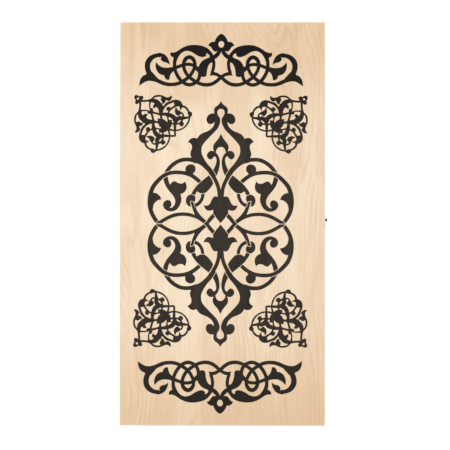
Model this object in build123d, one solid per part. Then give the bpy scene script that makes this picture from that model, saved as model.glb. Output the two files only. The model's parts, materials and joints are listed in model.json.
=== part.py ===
"""Folding backgammon set: two shallow plywood trays joined by a pair of butt hinges, closed by a hook latch,
with thirty checkers and two dice lying inside.

Millimetres. The set lies closed on its lower tray. +Z is up, +Y runs along the case's long side, the hinges are on
the -X wall and the latch is on the +X wall. The origin is the middle of the lower tray's outside face.
"""

import math
import os

from build123d import *

# The closed case
CASE_LENGTH = 600.0
CASE_WIDTH = 305.0
PANEL_THICKNESS = 4.0
RAIL_HEIGHT = 20.8
RAIL_THICKNESS = 12.0
PARTING_GAP = 0.4
CORNER_RADIUS = 1.5
PANEL_EDGE_EASE = 0.4
RIM_OUTER_EASE = 0.3
RIM_INNER_EASE = 0.8

# Butt hinges, let into the rims of the -X wall
HINGE_SPACING = 380.0
HINGE_LENGTH = 40.0
KNUCKLE_COUNT = 5
KNUCKLE_GAP = 0.2
BARREL_RADIUS = 2.5
BARREL_SETBACK = 0.25
BARREL_CLEARANCE = 0.5
LEAF_THICKNESS = 1.2
LEAF_WOOD_MARGIN = 1.6
MORTISE_CLEARANCE = 0.15
HINGE_PIN_RADIUS = 1.1
RUNNING_CLEARANCE = 0.05
PIN_HEAD_RADIUS = 1.8
PIN_HEAD_THICKNESS = 0.7
PIN_HEAD_CHAMFER = 0.25

# Countersunk hinge screws
HINGE_SCREW_COUNT = 3
HINGE_SCREW_EDGE = 6.5
HINGE_SCREW_RADIUS = 1.1
HINGE_SCREW_HEAD_RADIUS = 2.1
HINGE_SCREW_LENGTH = 11.0
HINGE_SCREW_POINT_LENGTH = 2.2
HINGE_SCREW_TIP_RADIUS = 0.2
SCREW_HOLE_CLEARANCE = 0.02
SCREW_SINK = 0.08
CROSS_WIDTH = 0.55
CROSS_SHARE = 0.62
CROSS_DEPTH = 0.6

# Hook latch on the +X wall. Heights are measured from the middle of the parting gap.
PIVOT_Y = -1.3
PIVOT_DROP = 9.5
PEG_Y = 5.8
PEG_RISE = 9.5
LATCH_SCREW_DEPTH = 9.0
HOOK_STANDOFF = 0.3
HOOK_THICKNESS = 1.0
HOOK_EYE_RADIUS = 3.1
HOOK_ARM_WIDTH = 3.2
HOOK_CLAW_RADIUS = 3.7
HOOK_SLOT_CLEARANCE = 0.3
HOOK_TAB_RADIUS = 1.6
HOOK_TAB_REACH = 4.6
HOOK_TAB_OFFSET = 1.0
PIVOT_RADIUS = 1.4
PIVOT_HEAD_RADIUS = 2.6
PIVOT_HEAD_GAP = 0.1
PIVOT_HEAD_HEIGHT = 1.8
PIVOT_HEAD_ROUND = 1.1
PEG_RADIUS = 1.2
PEG_HEAD_RADIUS = 3.0
PEG_HEAD_DEPTH = 2.3
PEG_REACH = 4.4

# Checkers, in columns of five on the points of each end of the lower tray
CHECKER_DIAMETER = 32.0
CHECKER_THICKNESS = 9.0
CHECKER_EDGE_RADIUS = 1.8
CHECKER_RIM_WIDTH = 4.2
CHECKER_RECESS_DEPTH = 0.6
CHECKER_GAP = 1.0
CHECKERS_IN_COLUMN = 5
POINTS_PER_END = 6
PRINT_ALLOWANCE = 0.1

# Dice
DIE_SIZE = 13.0
DIE_EDGE_RADIUS = 1.6
PIP_RADIUS = 1.25
PIP_DEPTH = 0.5
PIP_SPACING = 3.4
DICE_PLACES = [(-17.0, 9.0, 17.0), (15.0, -12.0, -28.0)]

# Derived places
HALF_HEIGHT = PANEL_THICKNESS + RAIL_HEIGHT
CLOSED_HEIGHT = 2 * HALF_HEIGHT + PARTING_GAP
PARTING_Z = CLOSED_HEIGHT / 2
INNER_WIDTH = CASE_WIDTH - 2 * RAIL_THICKNESS
INNER_LENGTH = CASE_LENGTH - 2 * RAIL_THICKNESS
HINGE_X = -CASE_WIDTH / 2 - BARREL_SETBACK
HINGE_YS = (-HINGE_SPACING / 2, HINGE_SPACING / 2)
LEAF_END_X = -CASE_WIDTH / 2 + RAIL_THICKNESS - LEAF_WOOD_MARGIN
LEAF_START_X = HINGE_X + BARREL_RADIUS + BARREL_CLEARANCE
HINGE_SCREW_X = (LEAF_START_X + LEAF_END_X) / 2
PIVOT_Z = PARTING_Z - PIVOT_DROP
PEG_Z = PARTING_Z + PEG_RISE
HOOK_LENGTH = math.hypot(PEG_Y - PIVOT_Y, PEG_Z - PIVOT_Z)
PIVOT_HEAD_X = HOOK_STANDOFF + HOOK_THICKNESS + PIVOT_HEAD_GAP

ABOVE = (Align.CENTER, Align.CENTER, Align.MIN)
BELOW = (Align.CENTER, Align.CENTER, Align.MAX)


def upper_twin(shape):
    """A lower tray's piece mirrored in the parting plane, as the upper tray has it."""
    return mirror(shape, Plane.XY.offset(PARTING_Z))


def side_screw_hole(radius, y, z):
    """A blind hole for a latch screw, drilled into the +X wall from outside."""
    depth = LATCH_SCREW_DEPTH + SCREW_HOLE_CLEARANCE
    hole = Cylinder(radius + SCREW_HOLE_CLEARANCE, depth, align=ABOVE)
    return Pos(CASE_WIDTH / 2, y, z) * Rot(0, -90, 0) * hole


def tray_panel():
    """The plywood sheet that closes the lower tray, with its outside edge eased."""
    outline = RectangleRounded(CASE_WIDTH, CASE_LENGTH, CORNER_RADIUS)
    sheet = extrude(outline, PANEL_THICKNESS)
    outside_edges = sheet.faces().sort_by(Axis.Z)[0].edges()
    return chamfer(outside_edges, PANEL_EDGE_EASE)


def rim_ring():
    """The four rails as one ring, with the rim's outer and inner edges eased."""
    outline = RectangleRounded(CASE_WIDTH, CASE_LENGTH, CORNER_RADIUS)
    hollow = Rectangle(INNER_WIDTH, INNER_LENGTH)
    ring = Pos(0, 0, PANEL_THICKNESS) * extrude(outline - hollow, RAIL_HEIGHT)
    rim = ring.faces().sort_by(Axis.Z)[-1]
    ring = chamfer(rim.outer_wire().edges(), RIM_OUTER_EASE)
    rim = ring.faces().sort_by(Axis.Z)[-1]
    return chamfer(rim.inner_wires()[0].edges(), RIM_INNER_EASE)


def hinge_seats():
    """What the hinges take out of the lower tray's -X rail: a round channel for the barrel, a mortise for the
    leaf, and the screw holes."""
    channel_length = HINGE_LENGTH + 2 * (PIN_HEAD_THICKNESS + BARREL_CLEARANCE)
    channel = Rot(90, 0, 0) * Cylinder(BARREL_RADIUS + BARREL_CLEARANCE, channel_length)
    mortise_end = LEAF_END_X + MORTISE_CLEARANCE
    mortise_depth = LEAF_THICKNESS + MORTISE_CLEARANCE
    mortise = Box(
        mortise_end - HINGE_X,
        HINGE_LENGTH + 2 * MORTISE_CLEARANCE,
        mortise_depth,
        align=(Align.MIN, Align.CENTER, Align.MAX),
    )
    seats = Part()
    for y in HINGE_YS:
        seats += Pos(HINGE_X, y, PARTING_Z) * channel
        seats += Pos(HINGE_X, y, HALF_HEIGHT) * mortise
        for screw_y in hinge_screw_ys(y):
            hole_radius = HINGE_SCREW_RADIUS + SCREW_HOLE_CLEARANCE
            hole_depth = HINGE_SCREW_LENGTH + SCREW_SINK + SCREW_HOLE_CLEARANCE
            hole = Cylinder(hole_radius, hole_depth, align=BELOW)
            seats += Pos(HINGE_SCREW_X, screw_y, HALF_HEIGHT) * hole
    return seats


def mitred_rails(ring):
    """The ring cut at its corners into four rails. Each cutter is a trapezium with 45 degree ends."""
    w, h = CASE_WIDTH / 2, CASE_LENGTH / 2
    t = RAIL_THICKNESS
    long_cut = Polygon((-w, -h), (-w, h), (-w + t, h - t), (-w + t, -h + t), align=None)
    end_cut = Polygon((-w, h), (w, h), (w - t, h - t), (-w + t, h - t), align=None)
    cutters = {
        "rail_hinge_side": long_cut,
        "rail_latch_side": mirror(long_cut, Plane.YZ),
        "rail_far_end": end_cut,
        "rail_near_end": mirror(end_cut, Plane.XZ),
    }
    return {name: ring & extrude(cut, CLOSED_HEIGHT, dir=(0, 0, 1)) for name, cut in cutters.items()}


def tray(latch_screw_radius, latch_screw_y, latch_screw_z):
    """One tray as it lies open side up, with the hinge seats and one latch screw hole cut."""
    pieces = mitred_rails(rim_ring())
    pieces["rail_hinge_side"] -= hinge_seats()
    pieces["rail_latch_side"] -= side_screw_hole(latch_screw_radius, latch_screw_y, latch_screw_z)
    pieces["panel"] = tray_panel()
    return pieces


def hinge_screw_ys(hinge_y):
    """Where a leaf's screws sit along the hinge."""
    reach = HINGE_LENGTH / 2 - HINGE_SCREW_EDGE
    step = 2 * reach / (HINGE_SCREW_COUNT - 1)
    return [hinge_y - reach + step * i for i in range(HINGE_SCREW_COUNT)]


def knuckle_ys(first):
    """The middles of every second knuckle, from the first or the second one."""
    pitch = HINGE_LENGTH / KNUCKLE_COUNT
    return [-HINGE_LENGTH / 2 + pitch * (i + 0.5) for i in range(first, KNUCKLE_COUNT, 2)]


def hinge_leaf(first_knuckle):
    """A lower leaf at y = 0: a plate flush with the rim, rolled into knuckles about the hinge axis."""
    knuckle_length = HINGE_LENGTH / KNUCKLE_COUNT - KNUCKLE_GAP
    align = (Align.MIN, Align.CENTER, Align.MAX)
    plate = Box(LEAF_END_X - LEAF_START_X, HINGE_LENGTH, LEAF_THICKNESS, align=align)
    leaf = Pos(LEAF_START_X, 0, HALF_HEIGHT) * plate
    web = Box(LEAF_START_X - HINGE_X, knuckle_length, LEAF_THICKNESS, align=align)
    barrel = Rot(90, 0, 0) * Cylinder(BARREL_RADIUS, knuckle_length)
    for y in knuckle_ys(first_knuckle):
        leaf += Pos(HINGE_X, y, HALF_HEIGHT) * web
        leaf += Pos(HINGE_X, y, PARTING_Z) * barrel
    bore_radius = HINGE_PIN_RADIUS + RUNNING_CLEARANCE
    leaf -= Pos(HINGE_X, 0, PARTING_Z) * Rot(90, 0, 0) * Cylinder(bore_radius, HINGE_LENGTH)
    for y in hinge_screw_ys(0):
        leaf -= Pos(HINGE_SCREW_X, y, HALF_HEIGHT) * leaf_countersink()
    return leaf


def leaf_countersink():
    """The hole in a leaf under a screw: a 90 degree cone that the head sinks into, and a clear hole below it."""
    mouth_radius = HINGE_SCREW_HEAD_RADIUS + SCREW_SINK + RUNNING_CLEARANCE
    shank_radius = HINGE_SCREW_RADIUS + RUNNING_CLEARANCE
    cone = Cone(shank_radius, mouth_radius, mouth_radius - shank_radius, align=BELOW)
    return cone + Cylinder(shank_radius, LEAF_THICKNESS, align=BELOW)


def hinge_pin():
    """The hinge's pin at y = 0, with a flat head at each end of the barrel."""
    pin = Cylinder(HINGE_PIN_RADIUS, HINGE_LENGTH)
    head = Cylinder(PIN_HEAD_RADIUS, PIN_HEAD_THICKNESS, align=ABOVE)
    head = chamfer(head.edges().sort_by(Axis.Z)[-1], PIN_HEAD_CHAMFER)
    for turn in (0, 180):
        pin += Rot(turn, 0, 0) * Pos(0, 0, HINGE_LENGTH / 2) * head
    return Pos(HINGE_X, 0, PARTING_Z) * Rot(90, 0, 0) * pin


def cross_recess(head_radius):
    """The driver's cross, cut down from z = 0."""
    length = 2 * head_radius * CROSS_SHARE
    return Box(length, CROSS_WIDTH, CROSS_DEPTH, align=BELOW) + Box(
        CROSS_WIDTH, length, CROSS_DEPTH, align=BELOW
    )


def hinge_screw():
    """A countersunk screw with its head's face at z = 0, pointing down."""
    head_depth = HINGE_SCREW_HEAD_RADIUS - HINGE_SCREW_RADIUS
    shank_length = HINGE_SCREW_LENGTH - head_depth - HINGE_SCREW_POINT_LENGTH
    screw = Cone(HINGE_SCREW_RADIUS, HINGE_SCREW_HEAD_RADIUS, head_depth, align=BELOW)
    screw += Pos(0, 0, -head_depth) * Cylinder(HINGE_SCREW_RADIUS, shank_length, align=BELOW)
    point = Cone(HINGE_SCREW_TIP_RADIUS, HINGE_SCREW_RADIUS, HINGE_SCREW_POINT_LENGTH, align=BELOW)
    screw += Pos(0, 0, -head_depth - shank_length) * point
    return screw - cross_recess(HINGE_SCREW_HEAD_RADIUS)


def hinge_screws():
    """All the screws of the lower leaves, as separate solids."""
    screw = hinge_screw()
    head_z = HALF_HEIGHT - SCREW_SINK
    return [Pos(HINGE_SCREW_X, y, head_z) * screw for hinge_y in HINGE_YS for y in hinge_screw_ys(hinge_y)]


def on_latch_wall(solid, y, z):
    """Stands a solid made along +Z out of the +X wall at height z."""
    return Pos(CASE_WIDTH / 2, y, z) * Rot(0, 90, 0) * solid


def latch_hook():
    """The hook, standing straight up from its pivot with its claw's slot open towards the peg."""
    slot_radius = PEG_RADIUS + HOOK_SLOT_CLEARANCE
    eye = Circle(HOOK_EYE_RADIUS)
    arm = Rectangle(HOOK_ARM_WIDTH, HOOK_LENGTH, align=(Align.CENTER, Align.MIN))
    claw = Pos(0, HOOK_LENGTH) * Circle(HOOK_CLAW_RADIUS)
    tab_neck = Rectangle(2 * HOOK_TAB_RADIUS, HOOK_TAB_REACH, align=(Align.CENTER, Align.MIN))
    tab = tab_neck + Pos(0, HOOK_TAB_REACH) * Circle(HOOK_TAB_RADIUS)
    slot = Circle(slot_radius) + Rectangle(
        2 * HOOK_CLAW_RADIUS, 2 * slot_radius, align=(Align.MIN, Align.CENTER)
    )
    profile = eye + arm + claw + Pos(-HOOK_TAB_OFFSET, HOOK_LENGTH) * tab
    profile -= Pos(0, HOOK_LENGTH) * slot
    profile -= Circle(PIVOT_RADIUS + RUNNING_CLEARANCE)
    plate = extrude(Plane.YZ * profile, HOOK_THICKNESS)
    return Pos(CASE_WIDTH / 2 + HOOK_STANDOFF, PIVOT_Y, PIVOT_Z) * plate


def latch_pivot_screw():
    """The round-headed screw that the hook turns on."""
    shank_length = LATCH_SCREW_DEPTH + PIVOT_HEAD_X
    shank = Pos(0, 0, -LATCH_SCREW_DEPTH) * Cylinder(PIVOT_RADIUS, shank_length, align=ABOVE)
    head = Cylinder(PIVOT_HEAD_RADIUS, PIVOT_HEAD_HEIGHT, align=ABOVE)
    head = fillet(head.edges().sort_by(Axis.Z)[-1], PIVOT_HEAD_ROUND)
    head -= Pos(0, 0, PIVOT_HEAD_HEIGHT) * cross_recess(PIVOT_HEAD_RADIUS)
    return on_latch_wall(shank + Pos(0, 0, PIVOT_HEAD_X) * head, PIVOT_Y, PIVOT_Z)


def latch_peg_screw():
    """The flat-headed screw, left standing out of the upper tray, that the hook catches."""
    shank_length = LATCH_SCREW_DEPTH + PEG_REACH - PEG_HEAD_DEPTH
    shank = Pos(0, 0, -LATCH_SCREW_DEPTH) * Cylinder(PEG_RADIUS, shank_length, align=ABOVE)
    head = Cone(PEG_RADIUS, PEG_HEAD_RADIUS, PEG_HEAD_DEPTH, align=BELOW)
    head -= cross_recess(PEG_HEAD_RADIUS)
    return on_latch_wall(shank + Pos(0, 0, PEG_REACH) * head, PEG_Y, PEG_Z)


def checker():
    """A turned checker standing on z = 0: rounded edge, and a raised rim round a recessed middle on each face."""
    radius = CHECKER_DIAMETER / 2
    blank = Cylinder(radius, CHECKER_THICKNESS, align=ABOVE)
    blank = fillet(blank.edges().filter_by(GeomType.CIRCLE), CHECKER_EDGE_RADIUS)
    mouth_radius = radius - CHECKER_RIM_WIDTH
    floor_radius = mouth_radius - CHECKER_RECESS_DEPTH
    recess = Cone(floor_radius, mouth_radius, CHECKER_RECESS_DEPTH, align=BELOW)
    recess = Pos(0, 0, CHECKER_THICKNESS) * recess
    return blank - recess - mirror(recess, Plane.XY.offset(CHECKER_THICKNESS / 2))


def checker_places(end):
    """Where one colour's checkers lie: on every second point of one end, in columns out from the end rail."""
    point_width = INNER_WIDTH / POINTS_PER_END
    step = CHECKER_DIAMETER + CHECKER_GAP
    places = []
    for point in range(0, POINTS_PER_END, 2):
        x = -INNER_WIDTH / 2 + point_width * (point + 0.5)
        for row in range(CHECKERS_IN_COLUMN):
            y = INNER_LENGTH / 2 - CHECKER_GAP - CHECKER_DIAMETER / 2 - step * row
            places.append((end * x, end * y))
    return places


def pip_places(count):
    """The pips of one face, in the usual pattern, as steps of the pip spacing."""
    corners = [(-1, 1), (1, -1), (-1, -1), (1, 1)]
    middles = [(-1, 0), (1, 0)]
    odd = [(0, 0)] if count % 2 else []
    return corners[: count - count % 2] + (middles if count == 6 else []) + odd


def die():
    """A die standing on z = 0, with opposite faces adding up to seven and six uppermost."""
    cube = fillet(Box(DIE_SIZE, DIE_SIZE, DIE_SIZE).edges(), DIE_EDGE_RADIUS)
    sphere_radius = (PIP_RADIUS**2 + PIP_DEPTH**2) / (2 * PIP_DEPTH)
    pip = Pos(0, 0, DIE_SIZE / 2 + sphere_radius - PIP_DEPTH) * Sphere(sphere_radius)
    turns = {
        6: Rot(0, 0, 0),
        1: Rot(180, 0, 0),
        5: Rot(90, 0, 0),
        2: Rot(-90, 0, 0),
        4: Rot(0, 90, 0),
        3: Rot(0, -90, 0),
    }
    for count, turn in turns.items():
        for u, v in pip_places(count):
            cube -= turn * Pos(u * PIP_SPACING, v * PIP_SPACING, 0) * pip
    return Pos(0, 0, DIE_SIZE / 2) * cube


def case_nodes():
    """The two trays, their hinges and the latch."""
    nodes = {}
    for name, piece in tray(PIVOT_RADIUS, PIVOT_Y, PIVOT_Z).items():
        nodes["lower_" + name] = piece
    for name, piece in tray(PEG_RADIUS, PEG_Y, CLOSED_HEIGHT - PEG_Z).items():
        nodes["upper_" + name] = upper_twin(piece)
    screws = hinge_screws()
    nodes["lower_hinge_screws"] = Compound(children=screws)
    nodes["upper_hinge_screws"] = Compound(children=[upper_twin(screw) for screw in screws])
    for label, y in zip(("near", "far"), HINGE_YS, strict=True):
        nodes[f"{label}_hinge_lower_leaf"] = Pos(0, y, 0) * hinge_leaf(0)
        nodes[f"{label}_hinge_upper_leaf"] = Pos(0, y, 0) * upper_twin(hinge_leaf(1))
        nodes[f"{label}_hinge_pin"] = Pos(0, y, 0) * hinge_pin()
    nodes["latch_hook"] = latch_hook()
    nodes["latch_pivot_screw"] = latch_pivot_screw()
    nodes["latch_peg_screw"] = latch_peg_screw()
    return nodes


def playing_nodes():
    """The checkers and dice, lying on the lower tray's field."""
    nodes = {}
    field_z = PANEL_THICKNESS + PRINT_ALLOWANCE
    for colour, end in (("light", 1), ("dark", -1)):
        for number, (x, y) in enumerate(checker_places(end), start=1):
            nodes[f"{colour}_checker_{number:02d}"] = Pos(x, y, field_z) * checker()
    for number, (x, y, turn) in enumerate(DICE_PLACES, start=1):
        nodes[f"die_{number}"] = Pos(x, y, field_z) * Rot(0, 0, turn) * die()
    return nodes


def main():
    os.makedirs("parts", exist_ok=True)
    for name, shape in {**case_nodes(), **playing_nodes()}.items():
        export_step(shape, f"parts/{name}.step")


main()
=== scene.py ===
"""Folding backgammon set with its finishes: a birch case with a printed lid, printed fields in both trays, black
steel hinges and latch, thirty turned checkers and two dice.

Laid out as a Blender add-on and run as a script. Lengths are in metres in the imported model's own frame: +Z up, +Y
along the case, the hinges on the -X wall, the latch on the +X wall. The ornament's own points are in millimetres.
"""

import json
import math

import bpy
import numpy as np
from bpy.props import FloatProperty, FloatVectorProperty, IntProperty, PointerProperty
from mathutils import Euler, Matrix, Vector
from mathutils.geometry import delaunay_2d_cdt

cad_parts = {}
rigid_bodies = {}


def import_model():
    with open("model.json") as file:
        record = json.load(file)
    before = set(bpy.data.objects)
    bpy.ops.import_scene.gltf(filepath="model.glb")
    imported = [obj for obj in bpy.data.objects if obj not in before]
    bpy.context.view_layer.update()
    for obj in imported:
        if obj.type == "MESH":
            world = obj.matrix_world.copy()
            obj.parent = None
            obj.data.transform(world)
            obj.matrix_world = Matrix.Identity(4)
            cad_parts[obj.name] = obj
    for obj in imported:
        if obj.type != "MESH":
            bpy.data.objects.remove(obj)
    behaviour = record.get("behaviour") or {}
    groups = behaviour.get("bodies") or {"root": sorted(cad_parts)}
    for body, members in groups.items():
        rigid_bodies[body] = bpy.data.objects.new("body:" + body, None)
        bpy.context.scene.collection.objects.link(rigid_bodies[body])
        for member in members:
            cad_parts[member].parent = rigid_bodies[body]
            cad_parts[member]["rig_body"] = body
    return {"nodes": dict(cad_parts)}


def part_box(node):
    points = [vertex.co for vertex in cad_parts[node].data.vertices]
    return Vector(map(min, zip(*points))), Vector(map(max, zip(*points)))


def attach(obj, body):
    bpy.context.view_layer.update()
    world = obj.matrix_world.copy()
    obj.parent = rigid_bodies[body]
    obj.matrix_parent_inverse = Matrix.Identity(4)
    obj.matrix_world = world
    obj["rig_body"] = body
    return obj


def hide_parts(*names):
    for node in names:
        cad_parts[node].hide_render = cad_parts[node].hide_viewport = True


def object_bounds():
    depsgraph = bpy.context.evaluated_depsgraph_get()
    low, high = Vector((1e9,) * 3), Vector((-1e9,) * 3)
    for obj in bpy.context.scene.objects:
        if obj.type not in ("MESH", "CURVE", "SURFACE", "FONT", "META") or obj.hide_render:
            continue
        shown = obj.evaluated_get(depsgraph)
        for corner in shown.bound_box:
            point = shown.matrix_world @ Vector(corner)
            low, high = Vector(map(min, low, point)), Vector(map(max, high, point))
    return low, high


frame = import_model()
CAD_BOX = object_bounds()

bl_info = {
    "name": "Folding backgammon set",
    "version": (1, 0, 0),
    "blender": (4, 5, 0),
    "location": "3D View > Sidebar > Backgammon",
    "description": "Finishes and prints a folding backgammon set around its packed model",
    "category": "Object",
}

MM = 0.001
TIP = True  # third item of an outline's point: the outline turns sharply there

LID_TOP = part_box("upper_panel")[1].z
LID_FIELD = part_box("upper_panel")[0].z
LOWER_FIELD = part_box("lower_panel")[1].z
PARTING = (LID_FIELD + LOWER_FIELD) / 2
PANEL = LID_TOP - LID_FIELD
CASE_HALF_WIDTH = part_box("lower_panel")[1].x
CASE_HALF_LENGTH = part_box("lower_panel")[1].y
FIELD_HALF_WIDTH = -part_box("lower_rail_hinge_side")[1].x
FIELD_HALF_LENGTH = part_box("lower_rail_far_end")[0].y

# The lid's medallion, the quarter towards +X +Y, from its middle. Outlines of its leaves and scrolls.
MEDALLION_LEAVES = {
    "crown": [
        (0, 183, TIP), (1.6, 179.8), (4.5, 176.6), (8, 174.2), (10, 171), (10.2, 167), (9.8, 164.2, TIP), (13, 164.4),
        (17, 163), (20.3, 159.5), (21.5, 155.5), (20.5, 151), (18, 148.8), (15, 148.4), (12.2, 149.2), (10.6, 150.8),
        (9.6, 152, TIP), (9.9, 149), (11.5, 145), (15, 141), (20, 137.8), (26, 135.4), (30.5, 133), (33.5, 129.8),
        (35.5, 126.6, TIP), (38.5, 127.8), (43, 127.5), (46.5, 125), (49, 121.6, TIP), (46, 120.2), (43.5, 117.3),
        (43, 113), (44.6, 107.5), (45.3, 103.5), (43.6, 98, TIP), (42, 94, TIP), (40, 91.3, TIP), (31.3, 88),
        (24, 82), (19, 76.8), (15.8, 72, TIP), (9.5, 74.5, TIP), (12, 80), (20, 89.5), (25.5, 98), (28.3, 104.5),
        (28.8, 110), (27.6, 116), (23.9, 121.4), (19.3, 126.4), (14.4, 131.6), (9.4, 136.6), (5, 141.6), (3, 145.6),
        (1.4, 150), (1, 154), (1.8, 157.8), (4, 161), (5.3, 164.6), (5, 168), (3, 170.3), (0, 171.2, TIP),
    ],
    "inner_flame": [
        (0, 134, TIP), (1.5, 131), (3.7, 126.9), (7.4, 122.4), (10.2, 118.6), (11.5, 114.5), (11, 110),
        (9.8, 107.2, TIP), (7.4, 105.8, TIP), (7, 108), (6, 110.8), (3.5, 113.5), (0, 114.5, TIP),
    ],
    "inner_scroll": [
        (8, 106.5, TIP), (10.5, 108), (14, 108.7), (18, 107), (20.7, 102.5), (19.5, 98.2), (16, 95.8), (12.5, 97),
        (10.8, 99.3), (9.8, 100.4, TIP), (7.5, 99), (6.5, 96), (6.6, 92), (8, 87), (10, 82.5), (12.5, 78, TIP),
        (8, 70, TIP), (6, 72, TIP), (4, 77), (2.5, 82), (1.5, 88), (1.3, 93), (2.5, 98.5), (5, 103.5),
    ],
    "long_leaf": [
        (12, 66, TIP), (17.2, 72.6, TIP), (22, 68.8), (26, 65.5), (31, 61), (35, 57.5), (39, 52.5), (42, 48),
        (44.5, 42.5, TIP), (38.5, 42, TIP), (36.5, 46), (35.8, 47.8, TIP), (34.5, 48), (33, 47), (30.5, 45.5),
        (27, 45), (23.5, 45.8), (20, 48.3), (16, 52.5), (13, 56.5), (10.5, 61, TIP),
    ],
    "scroll_foot": [
        (23.8, 46, TIP), (24.5, 40), (26.5, 34.5), (30, 29.5), (34, 26.3), (37, 25.2), (40, 26, TIP), (40, 31, TIP),
        (38, 30.3), (34.5, 32), (31.5, 35.5), (29.5, 40), (28.7, 46, TIP),
    ],
    "comma": [
        (37.8, 40), (40, 42.8), (45, 43.6), (48.5, 42), (51, 38.5), (51.8, 34), (50.8, 30), (48.5, 27), (46, 25.7),
        (44, 25.6, TIP), (44, 33, TIP), (42, 32), (40, 32.3), (38.2, 34), (37.5, 37),
    ],
    "stem": [
        (18, 1, TIP), (21.5, 5), (26, 8.8), (31, 14), (35, 20), (37.3, 25), (38.8, 30), (39.5, 33, TIP),
        (44.6, 34.5, TIP), (43, 26), (41, 20), (38.5, 13.5, TIP), (45, 15.8), (52, 16.8), (60, 16.8), (68, 15.8),
        (76, 13), (84, 8.8), (91, 4.5), (96, 0.5), (98, -2, TIP), (90, -1, TIP), (87.5, 0.5), (80, 5), (72, 8.8),
        (64, 11), (57, 11.7), (50, 11.3), (43, 10), (36, 7.5), (30, 4), (25.5, 0.8), (23, -1.5, TIP),
    ],
    "palmette": [
        (0, 40.5, TIP), (4, 40.3), (8, 41), (11, 39.5), (13.5, 35.5), (15.5, 31), (18, 28), (21.5, 27),
        (25.3, 27.8, TIP), (24, 24.5), (21.5, 21), (18, 19.5), (14, 20), (11, 21, TIP), (11.3, 18), (10.3, 14),
        (8, 10.5), (5, 7), (2.5, 4), (0, 1, TIP),
    ],
    "heart_leaf": [
        (84, 72, TIP), (85.2, 66), (83.5, 60), (80.5, 54), (76, 48), (71, 42), (68.5, 37.5), (67.5, 33), (68.5, 28.5),
        (71, 25.2), (74, 23.5), (76, 23.6, TIP), (73.8, 26), (73.3, 30), (74.5, 33.5), (78, 35.3), (82, 34.2),
        (85, 31), (85.5, 26.5), (83.5, 22.5), (80, 19.8), (75, 18.3), (70, 18.8), (65, 21.5), (61.5, 26), (59, 32),
        (58.3, 37), (59.2, 42), (59.8, 44, TIP), (56, 45.6), (52.6, 48.7), (50.8, 53), (50.9, 57.5), (52, 61),
        (52.7, 63.3, TIP), (55, 61), (59, 59.7), (63, 60.5), (67, 62.8), (70.5, 63), (73, 61.3), (75.5, 58, TIP),
        (77, 62), (78.5, 68), (79, 73, TIP),
    ],
    "ring_leaf": [
        (101.2, 46.5, TIP), (96.5, 45.6), (92, 42.8), (89.5, 39.5), (88.3, 36, TIP), (92.5, 35.2), (96.5, 32.5),
        (99.5, 28.5), (100.8, 22, TIP), (104, 22, TIP), (108.8, 33, TIP), (104, 46, TIP),
    ],
    "ball": [
        (40.5, 72.3, TIP), (41, 75), (38.5, 77.5), (37.5, 81), (38.5, 85.5), (42, 88.2), (46, 88.4), (50, 86.6),
        (52.4, 83), (52.6, 80), (52.7, 77.5, TIP), (52, 74, TIP), (46, 71, TIP),
    ],
}

# Its strands: points of a centre line as (x, y, half width).
MEDALLION_STRANDS = {
    "ring": [
        (84, -6, 3), (89, -2, 3), (94, 2.5, 3), (98.5, 8.5, 3), (102, 15, 3.1), (104.3, 22, 3.2), (105.4, 30, 3.3),
        (105, 40, 3.3), (103.3, 48, 3.2), (99.5, 56.5, 3.2), (93.6, 63.6, 3.1), (87.2, 69.6, 3), (80, 74, 2.9),
        (72, 76, 2.8), (64, 76.4, 2.8), (56, 75.7, 2.8), (47.6, 73.6, 2.8), (41, 70.3, 2.9), (35.3, 66.1, 2.9),
        (29.8, 61.2, 2.8),
    ],
    "arch": [
        (36, 92.4, 3), (42, 94.6, 3), (50, 95.6, 2.9), (58, 94.8, 2.9), (65, 92, 2.9), (71.5, 87.6, 2.9),
        (77, 82, 2.9), (80.7, 76.5, 2.9), (82.5, 73, 2.9),
    ],
    "middle_strand": [
        (1.2, 38, 3), (2, 44, 2.9), (2.9, 51, 2.8), (4.9, 58, 2.8), (7.9, 65, 2.8), (12, 72, 2.9), (16, 78, 3),
    ],
    "cross_strand": [
        (8, 15.5, 2.9), (14.5, 8, 2.9), (21.3, 0.3, 2.9), (27, -5, 2.9),
    ],
}

# Fine bare lines that part one strand or leaf from another where they cross.
MEDALLION_GAPS = [
    [(28.5, 64.5), (31, 61.8), (34.5, 58.5)],
    [(22.5, 45.9), (26, 45), (29.8, 45.3)],
    [(37.6, 42), (41, 43.2), (44.5, 44.4)],
    [(38.2, 25), (39.4, 29), (40.4, 32.2), (44.6, 34)],
    [(43.6, 25), (44.6, 29), (45.2, 34)],
    [(19.3, 6), (25.6, -0.2)],
    [(91.5, 6), (97.5, 0)],
    [(86, 0.1), (96, 0.1)],
    [(76.5, 78.3), (81, 76.8), (85.5, 74.8)],
    [(77.5, 71.3), (82, 69.3), (86.5, 66.3)],
    [(4.5, 66.3), (7.5, 73), (12, 80.3)],
    [(10.5, 60), (13.3, 66.5), (17.5, 73)],
    [(7.5, 10.2), (10.5, 13.7), (12.3, 17)],
]

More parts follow.
